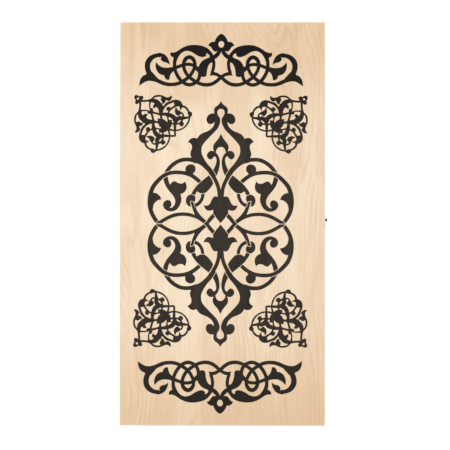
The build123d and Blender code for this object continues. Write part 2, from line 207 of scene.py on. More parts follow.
# The frieze at the far end, its +X half.
FRIEZE_STRANDS = {
    "wave_to_arch": [
        (-13, 224.5, 2.6), (-8, 222.2, 2.6), (-3, 219.6, 2.6), (0, 218, 2.6), (2.6, 215.9, 2.6), (7.5, 211.7, 2.7),
        (13.7, 208.2, 2.75), (21, 206.8, 2.75), (28.2, 207.5, 2.7), (35.4, 210.2, 2.6), (42.3, 214.4, 2.6),
        (48.2, 219, 2.6), (52.4, 224.7, 2.6), (55.1, 230.7, 2.6), (56, 237, 2.7), (54.5, 242.8, 2.9),
        (51.3, 246.6, 3), (47.5, 248, 3), (43.6, 246.6, 3), (40.6, 243, 2.8), (39.2, 238.5, 2.6), (39.5, 233, 2.5),
        (42, 227, 2.5), (45.6, 221.2, 2.6), (50, 216.8, 2.7), (55, 213.2, 2.7), (61, 209.8, 2.7), (68, 207.6, 2.7),
        (75, 207.1, 2.7), (82, 207.8, 2.8), (90, 210.6, 3), (96, 213.7, 2.9), (102.4, 218.6, 3.6),
        (107.3, 224.8, 3.9), (109.6, 232, 4), (109.2, 238.8, 4.1), (106, 244.6, 3.9), (101, 248.6, 3.4),
        (95, 250.5, 3), (90, 250.5, 3),
    ],
    "leaf_stem_loop": [
        (31.5, 226, 3), (31.9, 221, 2.7), (33.4, 215.6, 2.6), (37, 211, 2.7), (42, 207.9, 2.7), (47.3, 206.8, 2.7),
        (52.6, 208, 2.7), (57.4, 211, 2.7), (62.4, 216.3, 2.7), (66.5, 223.3, 2.6), (68.9, 230, 2.6),
        (69.4, 236.5, 2.6), (69, 243, 2.6), (67.3, 249, 2.8),
    ],
    "bar": [
        (33, 227.6, 3), (37.2, 232.2, 3), (42, 235.9, 2.5), (47.5, 237.2, 2.5), (53, 237, 2.5), (58.5, 235.7, 2.5),
        (64, 233.6, 2.5), (70, 231.5, 3),
    ],
    "upright": [
        (15.5, 250.5, 2.8), (12.6, 245.4, 2.5), (11, 240, 2.5), (11.1, 234.5, 2.4), (12.2, 229, 2.4),
        (13.9, 224, 2.4),
    ],
    "palmette_stem": [
        (1.4, 262.5, 1.4), (2, 258.6, 2.3), (4, 254.2, 3), (8, 249.8, 3.2), (12.5, 246.8, 3), (17, 245, 2.8),
    ],
}

# The frieze's leaves, from the same middle as the medallion's.
FRIEZE_LEAVES = {
    "palmette": [
        (0, 283, TIP), (3, 281.6), (6.5, 278), (9, 273.8), (10, 271, TIP), (14, 270.8), (17.5, 268.6),
        (19.8, 265.2, TIP), (16.5, 264), (14, 260.8), (12, 258), (10, 256.8), (8, 256.3), (5.6, 257.2, TIP),
        (3, 259.5, TIP), (1.6, 261.5), (3.4, 264.4), (4.3, 267.5), (3, 270.8), (0, 272.2, TIP),
    ],
    "long_leaf": [
        (11.3, 250.8, TIP), (15, 256), (20, 261), (26, 264), (33, 265.7), (41, 266.3), (49, 265.4), (56, 262.9),
        (62, 259.3), (67, 256), (71, 254.7), (75.6, 254.9, TIP), (75.8, 251.5), (74, 249), (71, 247.2, TIP),
        (66.5, 241, TIP), (64.5, 246.5), (61, 252), (57, 255.5), (53, 257), (48, 256.8), (43, 255), (38, 251.8),
        (33, 249.3), (28, 248), (24.2, 248.8), (22.2, 251), (22, 254.2, TIP), (18.5, 251.8), (16.5, 248.4, TIP),
    ],
    "inner_leaf": [
        (15.5, 248.4, TIP), (22, 246), (27, 243.3), (31, 239), (33.2, 235), (34.4, 231.5, TIP), (34.3, 226),
        (34, 219, TIP), (30.4, 219.4, TIP), (27, 218.4), (24.5, 218.8), (22, 219.8, TIP), (21.5, 223), (20.8, 229),
        (19, 235), (16.5, 238.8), (13.8, 240.2, TIP), (11, 243, TIP),
    ],
    "outer_leaf": [
        (68, 234.6, TIP), (72.5, 233.4), (78, 232.3), (85, 232.3), (90, 234), (94.5, 237.5), (97, 241, TIP),
        (97.8, 235.5), (96.8, 230), (94, 225), (90, 222), (85, 220.6, TIP), (84, 217.5), (82, 215), (79.5, 213.8),
        (77, 214.3, TIP), (76.2, 219), (74, 224), (71, 226.6, TIP), (68, 228, TIP),
    ],
    "curl": [
        (89, 248.2, TIP), (90, 246), (89, 243), (86, 240.8), (82, 239.8), (79, 238.5), (76.8, 236, TIP), (77, 240),
        (79, 245.5), (82, 250), (87, 253.2), (94, 254.1), (96, 251, TIP),
    ],
    "tail": [
        (111.5, 223, TIP), (112, 221.8, TIP), (116, 220), (119.5, 216), (121.4, 210.5), (121.8, 204.6, TIP),
        (119.5, 206.6), (116, 209), (110, 212), (104, 212.2), (97, 210.5), (92, 208.6, TIP), (94, 216, TIP),
        (103, 226, TIP),
    ],
    "foot": [
        (10.5, 226, TIP), (6, 224.8), (2, 222.6), (-2, 220.4, TIP), (3.5, 217.8, TIP), (7, 219.8), (12, 220.8),
        (17.2, 220.3, TIP), (15.6, 224, TIP), (14, 228, TIP),
    ],
}

# A corner pendant's half: x runs outwards along the corner's diagonal and y across it, from its middle.
PENDANT_LEAVES = {
    "shield": [
        (-27.3, 0, TIP), (-25.9, 2.2), (-24, 4.1), (-22, 5.6, TIP), (-23.8, 8.3), (-25.8, 11.8), (-27.1, 15.6),
        (-27.8, 20), (-27.6, 24), (-26.7, 28), (-25.2, 31.5), (-22.4, 35.6, TIP), (-22.1, 38.6), (-21.2, 40.8),
        (-19.5, 42), (-17.7, 42.3), (-16.2, 41.8), (-15.2, 40.9, TIP), (-13, 41.8), (-10.5, 42.4), (-8, 42.6),
        (-5.5, 42.3), (-3.5, 41.6), (-1.5, 40.4, TIP), (0.5, 41.4), (3, 42.1), (5.3, 42.2), (7.6, 41.6), (10, 40.4),
        (12.3, 38), (14.4, 35), (15.8, 32.2), (16.6, 30.6, TIP), (16.7, 33), (17.1, 35.5), (18.2, 37.4), (19.4, 38.4),
        (20.7, 39, TIP), (20.9, 37), (21.2, 35.2), (22.1, 33.5), (23.6, 32), (26, 30.7), (30, 29.3), (32.6, 27.7),
        (35.1, 25.5), (37.1, 22.9), (38.3, 20.4), (38.8, 17.6), (38.8, 14.6), (39.3, 12.2, TIP), (42, 8.2),
        (44.6, 5.2), (47.3, 3.2, TIP), (46.9, 5), (47.8, 6.9), (49.5, 7.8), (51.3, 7.3), (52.5, 5.8), (53, 4.2, TIP),
        (55.2, 3.8), (57.4, 2.7), (58.7, 1.4), (59.2, 0, TIP),
    ],
}

# The bare windows between the pendant's strands.
PENDANT_WINDOWS = [
    [(-24, 0, TIP), (-21.9, 1.9), (-20, 3.7, TIP), (-17.5, 1.9), (-14.6, 0, TIP)],
    [
        (-17.9, 5.2, TIP), (-16, 6.8), (-14.5, 8.3), (-13, 9.6), (-11.5, 9.5), (-10.1, 8.3, TIP), (-11.5, 6.8),
        (-12, 5), (-12.1, 3.5), (-12.8, 2.3, TIP), (-14.5, 3.5), (-16.5, 4.3),
    ],
    [
        (-20.5, 7.8, TIP), (-22.5, 11), (-24.2, 14.5), (-25.2, 18), (-25.3, 21.5), (-24.7, 25), (-23.5, 28.5),
        (-22.3, 31.3), (-21.6, 32.5, TIP), (-20.2, 30.4), (-18.9, 28.2), (-17.6, 26, TIP), (-18, 24.2),
        (-19, 22.9, TIP), (-20.8, 23), (-22.5, 22.2), (-23.4, 20.5), (-23.4, 18.4), (-22.5, 16.6), (-20.8, 15.7),
        (-18.7, 16.4, TIP), (-17.8, 16.2), (-16.7, 14.5), (-15.6, 12.8, TIP), (-17.5, 11.1), (-19.2, 9.2),
    ],
    [
        (-15.1, 22.9, TIP), (-14.3, 21.6), (-13.8, 19.4), (-13.9, 17.3), (-14.5, 15.7, TIP), (-15.3, 17.2),
        (-15.9, 19.4), (-15.8, 21.6),
    ],
    [
        (-19.6, 35.2, TIP), (-17.5, 35.8), (-15.8, 36.6), (-14.6, 37.7), (-13, 38.8), (-10, 39.4), (-7, 39.4),
        (-4.9, 38.8), (-3.5, 37.4), (-3.8, 35.7), (-4.3, 33), (-4.8, 31.2, TIP), (-7, 31.9), (-10, 32.5), (-13, 31.6),
        (-15, 30.1, TIP), (-16.5, 31.5), (-18, 33.3),
    ],
    [
        (-4.2, 31.6, TIP), (-2.8, 33.3), (-1.2, 34.6), (0.5, 34.9), (2, 34.4), (3.1, 33), (3.4, 31.6, TIP), (2, 31),
        (0.4, 30.3), (-1.5, 30.2), (-3, 30.7),
    ],
    [
        (3.7, 30.6, TIP), (4.8, 28), (5.4, 25), (5.5, 22), (5.1, 19.5), (4.3, 18, TIP), (2.5, 19.2), (0, 20.5),
        (-2.5, 21.2), (-5, 21.5), (-6.9, 21, TIP), (-7.6, 22.5), (-8.3, 24, TIP), (-7, 24), (-4.5, 23.6), (-2, 24.1),
        (0, 25.2), (1.8, 27.2), (2.9, 29),
    ],
    [(-12.8, 28, TIP), (-11.3, 29.5), (-9.8, 30), (-8.7, 29.2), (-8.9, 27.4), (-8.5, 25.3, TIP), (-10.2, 26.7)],
    [(-10.4, 12, TIP), (-9.3, 13.2), (-7.8, 13.7), (-6.8, 12.9), (-7.1, 11.7), (-8, 11), (-9.4, 11.2)],
    [
        (-6, 14, TIP), (-5, 14.6), (-3, 14.4), (-1, 14.1), (0.8, 13.3, TIP), (-0.7, 11.8), (-2.5, 10.6), (-3.5, 11.3),
        (-4.7, 12.8),
    ],
    [
        (-3, 6.8, TIP), (-1, 8.8), (1, 10), (3.1, 11.4, TIP), (4.6, 11), (7, 9.8), (8.8, 7.8, TIP), (7.5, 6.3),
        (5.8, 5.1), (4.7, 5), (3, 5.6), (0.5, 6.3), (-1.5, 6.1),
    ],
    [
        (10.7, 34.3, TIP), (12.1, 31.5), (13.6, 28), (14.5, 24.5), (14.8, 21), (14.2, 17.5), (13, 14),
        (11.4, 11.7, TIP), (10.3, 12.8), (9, 14.5), (7.6, 15.7), (6.7, 16.6, TIP), (7.2, 18), (8, 18.8, TIP),
        (9.6, 18), (11.3, 18.4), (12.5, 19.8), (12.8, 21.8), (12, 23.7), (10.5, 24.7), (8.6, 24.9, TIP), (8, 26.6),
        (7.6, 29.4), (7.2, 31.6, TIP), (9, 32.4),
    ],
    [(10.9, 0, TIP), (10.2, 0.9), (8, 2.3, TIP), (10, 4.1), (12.1, 5.1, TIP), (14, 4.2), (17, 2.5), (21.2, 0, TIP)],
    [
        (17.4, 29.5, TIP), (20, 28.8), (21.7, 27.8, TIP), (20.6, 26.3), (20, 24.5), (20.1, 22.5), (21.3, 20.2, TIP),
        (20.2, 19.4), (19.2, 19), (18, 19, TIP), (18.3, 21), (18.5, 23.5), (18.3, 26), (17.8, 28),
    ],
    [
        (21.8, 20.2, TIP), (23.5, 21.8), (25.5, 22.3), (27.5, 22.8), (28.6, 24.3), (29, 25.8), (29.9, 26.3, TIP),
        (31.5, 25), (33.5, 23), (35, 20.5), (36.2, 18), (35.8, 16.5, TIP), (34.5, 17.7), (32.5, 18.9), (30, 19.8),
        (27, 20.1), (24.5, 19.9),
    ],
    [
        (15.4, 7.2, TIP), (17.5, 8.8), (19.8, 10.2), (22.3, 10.9), (24.3, 10.5), (24.9, 9), (25, 7, TIP), (26, 6.3),
        (28, 7.3), (29.3, 9), (29.6, 11), (30, 12.5, TIP), (32.5, 11.6), (35, 10.3, TIP), (34, 8.3), (32.5, 6.3),
        (30.8, 4.6), (29.3, 3.5, TIP), (28, 4.5), (26.3, 5.1), (24.8, 4.3), (23.4, 2.8, TIP), (21.5, 3.6), (19, 5),
        (17, 6),
    ],
    [
        (26.7, 0, TIP), (29.5, 1.3), (32.5, 3.3), (35, 5.8), (36.5, 7.5), (37.7, 8.2, TIP), (39.2, 6.8), (41, 4.6),
        (43.2, 2.1), (45.5, 0, TIP),
    ],
    [(50.9, 0, TIP), (51.4, 1.2), (52.5, 1.7), (53.6, 1.2), (54.1, 0, TIP)],
]

# The pendant's fine bare lines.
PENDANT_GAPS = [
    [(3.3, 32.4), (3.6, 31.2), (3.9, 29.6)],
    [(-8.6, 26), (-8.2, 23.6)],
    [(-7, 13.2), (-5.6, 14)],
    [(15.3, 33.4), (16.2, 31.4), (17.6, 29)],
]


# Settings


def colour_setting(name, description, default):
    """A colour that a user may change."""
    return FloatVectorProperty(name=name, description=description, default=default, subtype="COLOR", min=0.0, max=1.0)


def length_setting(name, description, default, low, high, digits=3):
    """A length in metres that a user may change, from low to high."""
    return FloatProperty(
        name=name, description=description, default=default, min=low, max=high, precision=digits,
        subtype="DISTANCE", unit="LENGTH",
    )


def amount_setting(name, description, default, high):
    """A number from 0 to high that a user may change."""
    return FloatProperty(name=name, description=description, default=default, min=0.0, max=high)


class CaseSettings(bpy.types.PropertyGroup):
    """Colours of the birch case and its steel."""

    birch: colour_setting("Birch", "Colour of the plywood faces between their growth lines", (0.738, 0.611, 0.457))
    birch_warm: colour_setting("Warm birch", "Colour of the plywood's warmer patches", (0.625, 0.442, 0.272))
    birch_late: colour_setting("Birch growth lines", "Colour of the plywood's growth lines", (0.545, 0.355, 0.195))
    rail: colour_setting("Rails", "Colour of the solid birch rails", (0.690, 0.520, 0.350))
    steel: colour_setting("Black steel", "Colour of the blackened hinges, screws and latch", (0.016, 0.015, 0.014))


class PrintSettings(bpy.types.PropertyGroup):
    """Inks of the lid's ornament and of the two fields."""

    black: colour_setting("Black ink", "Colour of the lid's ornament and every second point", (0.024, 0.018, 0.0135))
    brown: colour_setting("Brown ink", "Colour of the other points", (0.150, 0.050, 0.018))
    thickness: length_setting(
        "Ink thickness", "How far the ink stands proud of the wood", 0.04 * MM, 0.01 * MM, 0.08 * MM, 6
    )
    point_length: length_setting("Point length", "Length of a field's points from the end rail", 0.232, 0.15, 0.26)
    point_width: length_setting("Point width", "Width of a field's points at the end rail", 0.041, 0.03, 0.046)
    rosette_radius: length_setting("Rosette radius", "Radius to the tips of a rosette's petals", 0.040, 0.02, 0.05)


class PlaySettings(bpy.types.PropertyGroup):
    """Checkers and dice."""

    light_wood: colour_setting("Light checkers", "Colour of the natural checkers", (0.66, 0.43, 0.235))
    dark_wood: colour_setting("Dark checkers", "Colour of the stained checkers", (0.100, 0.034, 0.013))
    die: colour_setting("Dice", "Colour of the dice", (0.80, 0.745, 0.640))
    groove_depth: length_setting(
        "Groove depth", "Depth of the grooves turned into the checkers", 0.35 * MM, 0.0, 0.6 * MM, 5
    )
    turn_steps: IntProperty(name="Turning steps", description="Facets round a checker", default=56, min=24, max=96)


class StageSettings(bpy.types.PropertyGroup):
    """Floor, lights and camera."""

    floor: colour_setting("Floor", "Colour of the floor", (0.95, 0.95, 0.95))
    floor_glow: amount_setting("Floor glow", "Light that the floor gives off by itself, as a lit table does", 0.30, 1.0)
    sky_light: amount_setting("Surrounding light", "Strength of the even light from all round", 0.72, 3.0)
    key_light: amount_setting("Overhead light", "Power of the large soft light overhead, in watts", 26.0, 500.0)
    lens: FloatProperty(
        name="Lens", description="Focal length on a 36 mm sensor, in millimetres", subtype="DISTANCE_CAMERA",
        default=73.26, min=20.0, max=200.0,
    )


# Finishes


NO_SHIFT = (0.0, 0.0, 0.0)


class Finish:
    """A procedural material in the making: each node is added with its inputs, which are numbers or other outputs."""

    def __init__(self, name, **shader_values):
        self.material = bpy.data.materials.new(name)
        self.material.use_nodes = True
        self.tree = self.material.node_tree
        self.shader = self.tree.nodes["Principled BSDF"]
        for label, value in shader_values.items():
            self.feed(self.shader.inputs[label.replace("_", " ")], value)
        self.coordinates = self.tree.nodes.new("ShaderNodeTexCoord")
        self.place = self.coordinates.outputs["Object"]

    def feed(self, socket, value):
        """Links an output to the socket, or sets the socket's own value."""
        if isinstance(value, bpy.types.NodeSocket):
            self.tree.links.new(value, socket)
        else:
            socket.default_value = value

    def add(self, kind, sockets, **choices):
        """A new node with its choices made and its sockets fed; sockets are named or numbered."""
        node = self.tree.nodes.new("ShaderNode" + kind)
        for label, choice in choices.items():
            setattr(node, label, choice)
        for label, value in sockets.items():
            self.feed(node.inputs[label], value)
        return node

    def math(self, operation, *values):
        """The outcome of one of the Math node's operations."""
        return self.add("Math", dict(enumerate(values)), operation=operation).outputs[0]

    def plus(self, first, second):
        return self.math("ADD", first, second)

    def minus(self, first, second):
        return self.math("SUBTRACT", first, second)

    def times(self, first, second):
        return self.math("MULTIPLY", first, second)

    def apart(self, first, second):
        """How far two values are from each other."""
        return self.math("ABSOLUTE", self.minus(first, second))

    def noise(self, vector, scale, detail=2.0, roughness=0.5, distortion=0.0, shift=NO_SHIFT, turn=NO_SHIFT):
        """Noise on the vector scaled along each axis: its figure is drawn out where the scale is small."""
        sockets = {"Vector": vector, "Scale": scale, "Rotation": turn, "Location": shift}
        scaled = self.add("Mapping", sockets).outputs[0]
        sockets = {"Vector": scaled, "Scale": 1.0, "Detail": detail, "Roughness": roughness, "Distortion": distortion}
        return self.add("TexNoise", sockets).outputs["Fac"]

    def span(self, value, low, high, to_low=0.0, to_high=1.0):
        """The value's span from low to high carried over to another, smoothly and held at its ends."""
        sockets = {"Value": value, "From Min": low, "From Max": high, "To Min": to_low, "To Max": to_high}
        node = self.add("MapRange", sockets, interpolation_type="SMOOTHSTEP")
        return node.outputs["Result"]

    def mix(self, share, first, second):
        """A colour between the first and the second."""
        node = self.tree.nodes.new("ShaderNodeMix")
        node.data_type = "RGBA"
        colours = [c if isinstance(c, bpy.types.NodeSocket) else (*c, 1.0) for c in (first, second)]
        for index, value in zip((0, 6, 7), (share, *colours)):
            self.feed(node.inputs[index], value)
        return node.outputs[2]

    def bump(self, height, distance, strength):
        """A normal raised by the height, whose full reach is the distance in metres."""
        sockets = {"Height": height, "Distance": distance, "Strength": strength}
        return self.add("Bump", sockets).outputs["Normal"]

    def wear(self, colour, roughness=None, normal=None):
        """Feeds the shader with what is worked out so far."""
        for label, value in (("Base Color", colour), ("Roughness", roughness), ("Normal", normal)):
            if value is not None:
                self.feed(self.shader.inputs[label], value)


def shade(colour, factor):
    """The colour made darker or lighter by a factor."""
    return tuple(min(1.0, channel * factor) for channel in colour)


GROWTH_LINES = {"hill": 165.0, "ripple": 5.5, "across": 560.0}  # how strongly each bends or spaces the lines


def sawn_grain(finish, place, fineness=1.0):
    """Signals of sawn wood whose fibres run along the vector's Y: growth lines, which are the contour lines of a
    slope across the board with a long soft noise on it; streaked fibres; short dark pores."""
    hill = finish.noise(place, (8.5 * fineness, 2.3, 8.5 * fineness), 2.0, 0.40, 0.35)
    ripple = finish.noise(place, (60.0 * fineness, 14.0, 60.0), 3.0, 0.6)
    across = finish.add("SeparateXYZ", {0: place}).outputs[0]
    height = finish.plus(finish.times(hill, GROWTH_LINES["hill"]), finish.times(ripple, GROWTH_LINES["ripple"]))
    height = finish.plus(height, finish.times(across, GROWTH_LINES["across"] * fineness))
    lines = finish.span(finish.math("SINE", height), 0.15, 1.0)
    fibres = finish.noise(place, (520.0 * fineness, 9.0, 520.0 * fineness), 3.0, 0.62)
    dashes = finish.noise(place, (1500.0, 62.0, 1500.0), 1.0, 0.5)
    pores = finish.span(dashes, 0.66, 0.76)
    return lines, fibres, pores


def birch_faces(finish, place, colours, fineness=1.0, painted_shade=None):
    """Colour and height of planed birch, from its pale, warm and late colours: pale wood with warm patches, growth
    lines that come and go, fine fibres and a few pores. The last argument is painted shade: where it is high the
    wood is painted warmer and its figure stronger."""
    pale, warm, late = colours
    lines, fibres, pores = sawn_grain(finish, place, fineness)
    tone = finish.noise(place, (26.0, 6.5, 26.0), 3.0, 0.60, 0.6, shift=(3.0, 1.0, 2.0))
    patch = finish.noise(place, (30.0, 8.0, 30.0), 2.0, 0.5, shift=(1.0, 4.0, 2.0))
    warmth = finish.span(tone, 0.36, 0.66, 0.0, 0.46)
    strength = finish.span(patch, 0.40, 0.66, 0.03, 0.32)
    # Painted shade: where the last argument is high the wood is painted warmer and its figure stronger
    if painted_shade is not None:
        warmth = finish.plus(warmth, finish.times(painted_shade, 0.62))
        strength = finish.plus(strength, finish.times(painted_shade, 0.14))
    colour = finish.mix(warmth, pale, warm)
    colour = finish.mix(finish.times(lines, strength), colour, late)
    colour = finish.mix(finish.span(fibres, 0.35, 0.75, 0.0, 0.22), colour, shade(late, 1.05))
    colour = finish.mix(finish.times(pores, 0.25), colour, shade(late, 0.5))
    height = finish.minus(fibres, pores)
    return colour, height


# A greyer, less saturated birch painted along the panels' outer edge: a painted reflection of the light on the eased
# edge
RIM_REFLECTION_BIRCH = (0.640, 0.565, 0.465)
PLIES = 3.0


def ply_finish(case):
    """Birch plywood: planed faces with the grain along Y, and on the sheet's edge three plies with dark glue lines.
    The edge is known by the object's own normal, and the plies by the height within the sheet."""
    finish = Finish("birch_plywood_finish", Specular_IOR_Level=0.30)
    x, y, z = finish.add("SeparateXYZ", {0: finish.place}).outputs
    # Painted shade: the faces are painted warmer and darker towards both ends and towards +X, where less of the
    # overhead light falls
    wander = finish.noise(finish.place, (9.0, 5.0, 9.0), 2.0, 0.5, shift=(5.0, 2.0, 1.0))
    from_middle = finish.plus(finish.math("ABSOLUTE", y), finish.times(wander, 0.16))
    painted_shade = finish.span(from_middle, 0.18, 0.40)
    painted_shade = finish.plus(painted_shade, finish.span(x, -0.02, 0.15, 0.0, 0.30))
    colours = (case.birch, case.birch_warm, case.birch_late)
    colour, height = birch_faces(finish, finish.place, colours, painted_shade=painted_shade)
    to_side = finish.minus(CASE_HALF_WIDTH, finish.math("ABSOLUTE", x))
    to_end = finish.minus(CASE_HALF_LENGTH, finish.math("ABSOLUTE", y))
    # Painted reflection: the faces are painted greyer near the sheet's outer edge, as the eased edge catching the light
    rim_reflection_mask = finish.span(finish.math("MINIMUM", to_side, to_end), 0.0026, 0.0006, 0.0, 0.55)
    colour = finish.mix(rim_reflection_mask, colour, RIM_REFLECTION_BIRCH)
    normal = finish.add("SeparateXYZ", {0: finish.coordinates.outputs["Normal"]}).outputs
    on_edge = finish.span(finish.math("ABSOLUTE", normal[2]), 0.72, 0.55)
    from_field = finish.minus(finish.apart(z, PARTING), LID_FIELD - PARTING)
    ply = finish.times(from_field, PLIES / PANEL)
    wander = finish.times(finish.noise(finish.place, (60.0, 60.0, 60.0)), 0.16)
    ply = finish.plus(ply, finish.minus(wander, 0.08))
    middle = finish.times(finish.span(ply, 0.97, 1.03), finish.span(ply, 2.03, 1.97))
    from_glue = finish.apart(finish.math("FRACT", finish.plus(ply, 0.5)), 0.5)
    glue = finish.span(from_glue, 0.09, 0.03)
    inside = finish.times(finish.span(ply, 0.5, 0.6), finish.span(ply, 2.5, 2.4))
    end_grain = finish.noise(finish.place, (900.0, 900.0, 260.0), 2.0, 0.6)
    end_colour = finish.mix(end_grain, shade(case.birch_late, 0.62), shade(case.birch_late, 0.86))
    edge = finish.mix(middle, shade(case.birch, 0.90), end_colour)
    edge = finish.mix(finish.times(finish.times(glue, inside), 0.75), edge, shade(case.birch_late, 0.26))
    edge = finish.mix(finish.times(finish.span(height, 0.30, 0.80), 0.18), edge, shade(case.birch_late, 0.7))
    colour = finish.mix(on_edge, colour, edge)
    sheen = finish.span(height, 0.2, 0.9, 0.40, 0.52)
    sheen = finish.plus(sheen, finish.times(on_edge, 0.15))
    finish.wear(colour, sheen, finish.bump(height, 0.02 * MM, 0.55))
    return finish.material


RAIL_SHIFTS = {"tray": 0.9, "side": 0.37, "end": 0.71}  # metres between the rails' figures, so that no two are alike


def rail_finish(case):
    """Solid birch rails. The grain follows each rail: along Y on the long rails and along X on the end rails, told
    apart by which side of the mitre a place lies on. A fine glue line shows on the mitre."""
    finish = Finish("birch_rail_finish", Specular_IOR_Level=0.30)
    x, y, z = finish.add("SeparateXYZ", {0: finish.place}).outputs
    beyond_x = finish.minus(finish.math("ABSOLUTE", x), CASE_HALF_WIDTH)
    beyond_y = finish.minus(finish.math("ABSOLUTE", y), CASE_HALF_LENGTH)
    from_mitre = finish.minus(beyond_y, beyond_x)
    on_end = finish.math("GREATER_THAN", from_mitre, 0.0)
    tray = finish.times(finish.math("SIGN", finish.minus(z, PARTING)), RAIL_SHIFTS["tray"])
    side = finish.times(finish.math("SIGN", x), RAIL_SHIFTS["side"])
    end = finish.times(finish.math("SIGN", y), RAIL_SHIFTS["end"])
    long_way = finish.add("CombineXYZ", {0: x, 1: finish.plus(y, side), 2: finish.plus(z, tray)}).outputs[0]
    short_way = finish.add("CombineXYZ", {0: y, 1: finish.plus(x, end), 2: finish.plus(z, tray)}).outputs[0]
    along = finish.add("Mix", {0: on_end, 4: long_way, 5: short_way}, data_type="VECTOR").outputs[1]
    colours = (case.rail, shade(case.birch_warm, 0.88), shade(case.birch_late, 0.9))
    colour, height = birch_faces(finish, along, colours, 2.4)
    joint = finish.span(finish.math("ABSOLUTE", from_mitre), 0.00022, 0.00006)
    colour = finish.mix(finish.times(joint, 0.6), colour, shade(case.birch_late, 0.22))
    # Painted shade: the rails are painted darker in a narrow band along the seam where the two trays meet
    rim = finish.span(finish.apart(z, PARTING), 0.0012, 0.0003)
    colour = finish.mix(finish.times(rim, 0.22), colour, shade(case.birch_late, 0.5))
    finish.wear(colour, finish.span(height, 0.2, 0.9, 0.42, 0.56), finish.bump(height, 0.025 * MM, 0.6))
    return finish.material


def steel_finish(case):
    """Blackened steel: satin, with cloudy oxide, fine rubbed streaks and a few paler specks."""
    finish = Finish("black_steel_finish", Metallic=0.45, Specular_IOR_Level=0.22)
    cloud = finish.noise(finish.place, (260.0, 260.0, 260.0), 4.0, 0.6)
    streak = finish.noise(finish.place, (2600.0, 120.0, 2600.0), 2.0, 0.55)
    speck = finish.noise(finish.place, (1500.0, 1500.0, 1500.0), 1.0, 0.5)
    colour = finish.mix(finish.span(cloud, 0.35, 0.70), shade(case.steel, 0.8), shade(case.steel, 1.9))
    rubbed = finish.times(finish.span(streak, 0.58, 0.74), finish.span(cloud, 0.45, 0.65))
    colour = finish.mix(finish.times(rubbed, 0.35), colour, (0.16, 0.15, 0.14))
    colour = finish.mix(finish.times(finish.span(speck, 0.70, 0.78), 0.4), colour, (0.11, 0.09, 0.075))
    roughness = finish.span(cloud, 0.3, 0.75, 0.42, 0.60)
    finish.wear(colour, roughness, finish.bump(finish.plus(cloud, streak), 0.01 * MM, 0.5))
    return finish.material


def ink_finish(name, colour, specular, far_painted_shade=1.0, near_painted_shade=1.0):
    """Printed ink, matt and a little cloudy, with the wood's fibres showing through as fine ridges. Towards the far
    and the near end it is painted darker, by the two shares: painted shade that leaves the middle lighter, as a
    reflection of the overhead light would."""
    finish = Finish(name, Specular_IOR_Level=specular)
    fibres = finish.noise(finish.place, (520.0, 9.0, 520.0), 3.0, 0.62)
    cloud = finish.noise(finish.place, (70.0, 24.0, 70.0), 3.0, 0.55)
    tone = finish.mix(finish.span(cloud, 0.32, 0.72), shade(colour, 0.82), shade(colour, 1.30))
    tone = finish.mix(finish.span(fibres, 0.50, 0.80, 0.0, 0.30), tone, shade(colour, 1.9))
    # Painted shade: the ink is painted darker towards the far and the near end
    if min(far_painted_shade, near_painted_shade) < 1.0:
        y = finish.add("SeparateXYZ", {0: finish.place}).outputs[1]
        tone = finish.mix(finish.span(y, 0.10, 0.27), tone, shade(colour, far_painted_shade))
        tone = finish.mix(finish.span(y, -0.14, -0.27), tone, shade(colour, near_painted_shade))
    finish.wear(tone, finish.span(fibres, 0.3, 0.8, 0.50, 0.64), finish.bump(fibres, 0.02 * MM, 0.6))
    return finish.material


def checker_finish(name, wood, late, roughness):
    """Turned wood."""
    finish = Finish(name, Specular_IOR_Level=0.28)
    grain = finish.add("Attribute", {}, attribute_name="grain", attribute_type="GEOMETRY").outputs["Vector"]
    hill = finish.noise(grain, (70.0, 9.0, 70.0), 2.0, 0.45)
    lines = finish.span(finish.math("SINE", finish.times(hill, 60.0)), -0.3, 1.0)
    fibres = finish.noise(grain, (1100.0, 45.0, 1100.0), 3.0, 0.6)
    pores = finish.span(finish.noise(grain, (2300.0, 190.0, 2300.0), 1.0, 0.5), 0.62, 0.74)
    piece = finish.add("Attribute", {}, attribute_name="tone", attribute_type="GEOMETRY").outputs["Fac"]
    colour = finish.mix(finish.times(lines, 0.55), wood, late)
    colour = finish.mix(finish.span(fibres, 0.35, 0.75, 0.0, 0.40), colour, shade(late, 0.85))
    colour = finish.mix(finish.times(pores, 0.45), colour, shade(late, 0.40))
    colour = finish.mix(piece, colour, shade(late, 0.9))
    height = finish.minus(fibres, pores)
    gloss = finish.span(height, 0.1, 0.9, roughness, roughness + 0.14)
    finish.wear(colour, gloss, finish.bump(height, 0.03 * MM, 0.5))
    return finish.material


def die_finish(play):
    """Cast ivory-white resin, polished, with faint warm clouding and hair-fine handling marks."""
    finish = Finish("die_finish", Specular_IOR_Level=0.5, Subsurface_Weight=0.12, Subsurface_Scale=0.002)
    finish.shader.inputs["Subsurface Radius"].default_value = (1.0, 0.7, 0.45)
    cloud = finish.noise(finish.place, (110.0, 110.0, 160.0), 3.0, 0.55, 0.6)
    mark = finish.noise(finish.place, (3200.0, 260.0, 900.0), 2.0, 0.5, turn=(0.3, 0.2, 0.7))
    colour = finish.mix(finish.span(cloud, 0.35, 0.70), play.die, shade(play.die, 0.90))
    finish.wear(colour, finish.span(mark, 0.55, 0.75, 0.16, 0.30), finish.bump(mark, 0.006 * MM, 0.4))
    return finish.material


# Shapes


def dress(nodes, material):
    """Gives CAD nodes a finish; their meshes stay as they are."""
    for node in nodes:
        mesh = frame["nodes"][node].data
        mesh.materials.clear()
        mesh.materials.append(material)


def nodes_with(words):
    """The CAD nodes whose names hold the words."""
    found = [name for name in sorted(frame["nodes"]) if words in name]
    if not found:
        raise RuntimeError(f"no CAD node has {words} in its name")
    return found


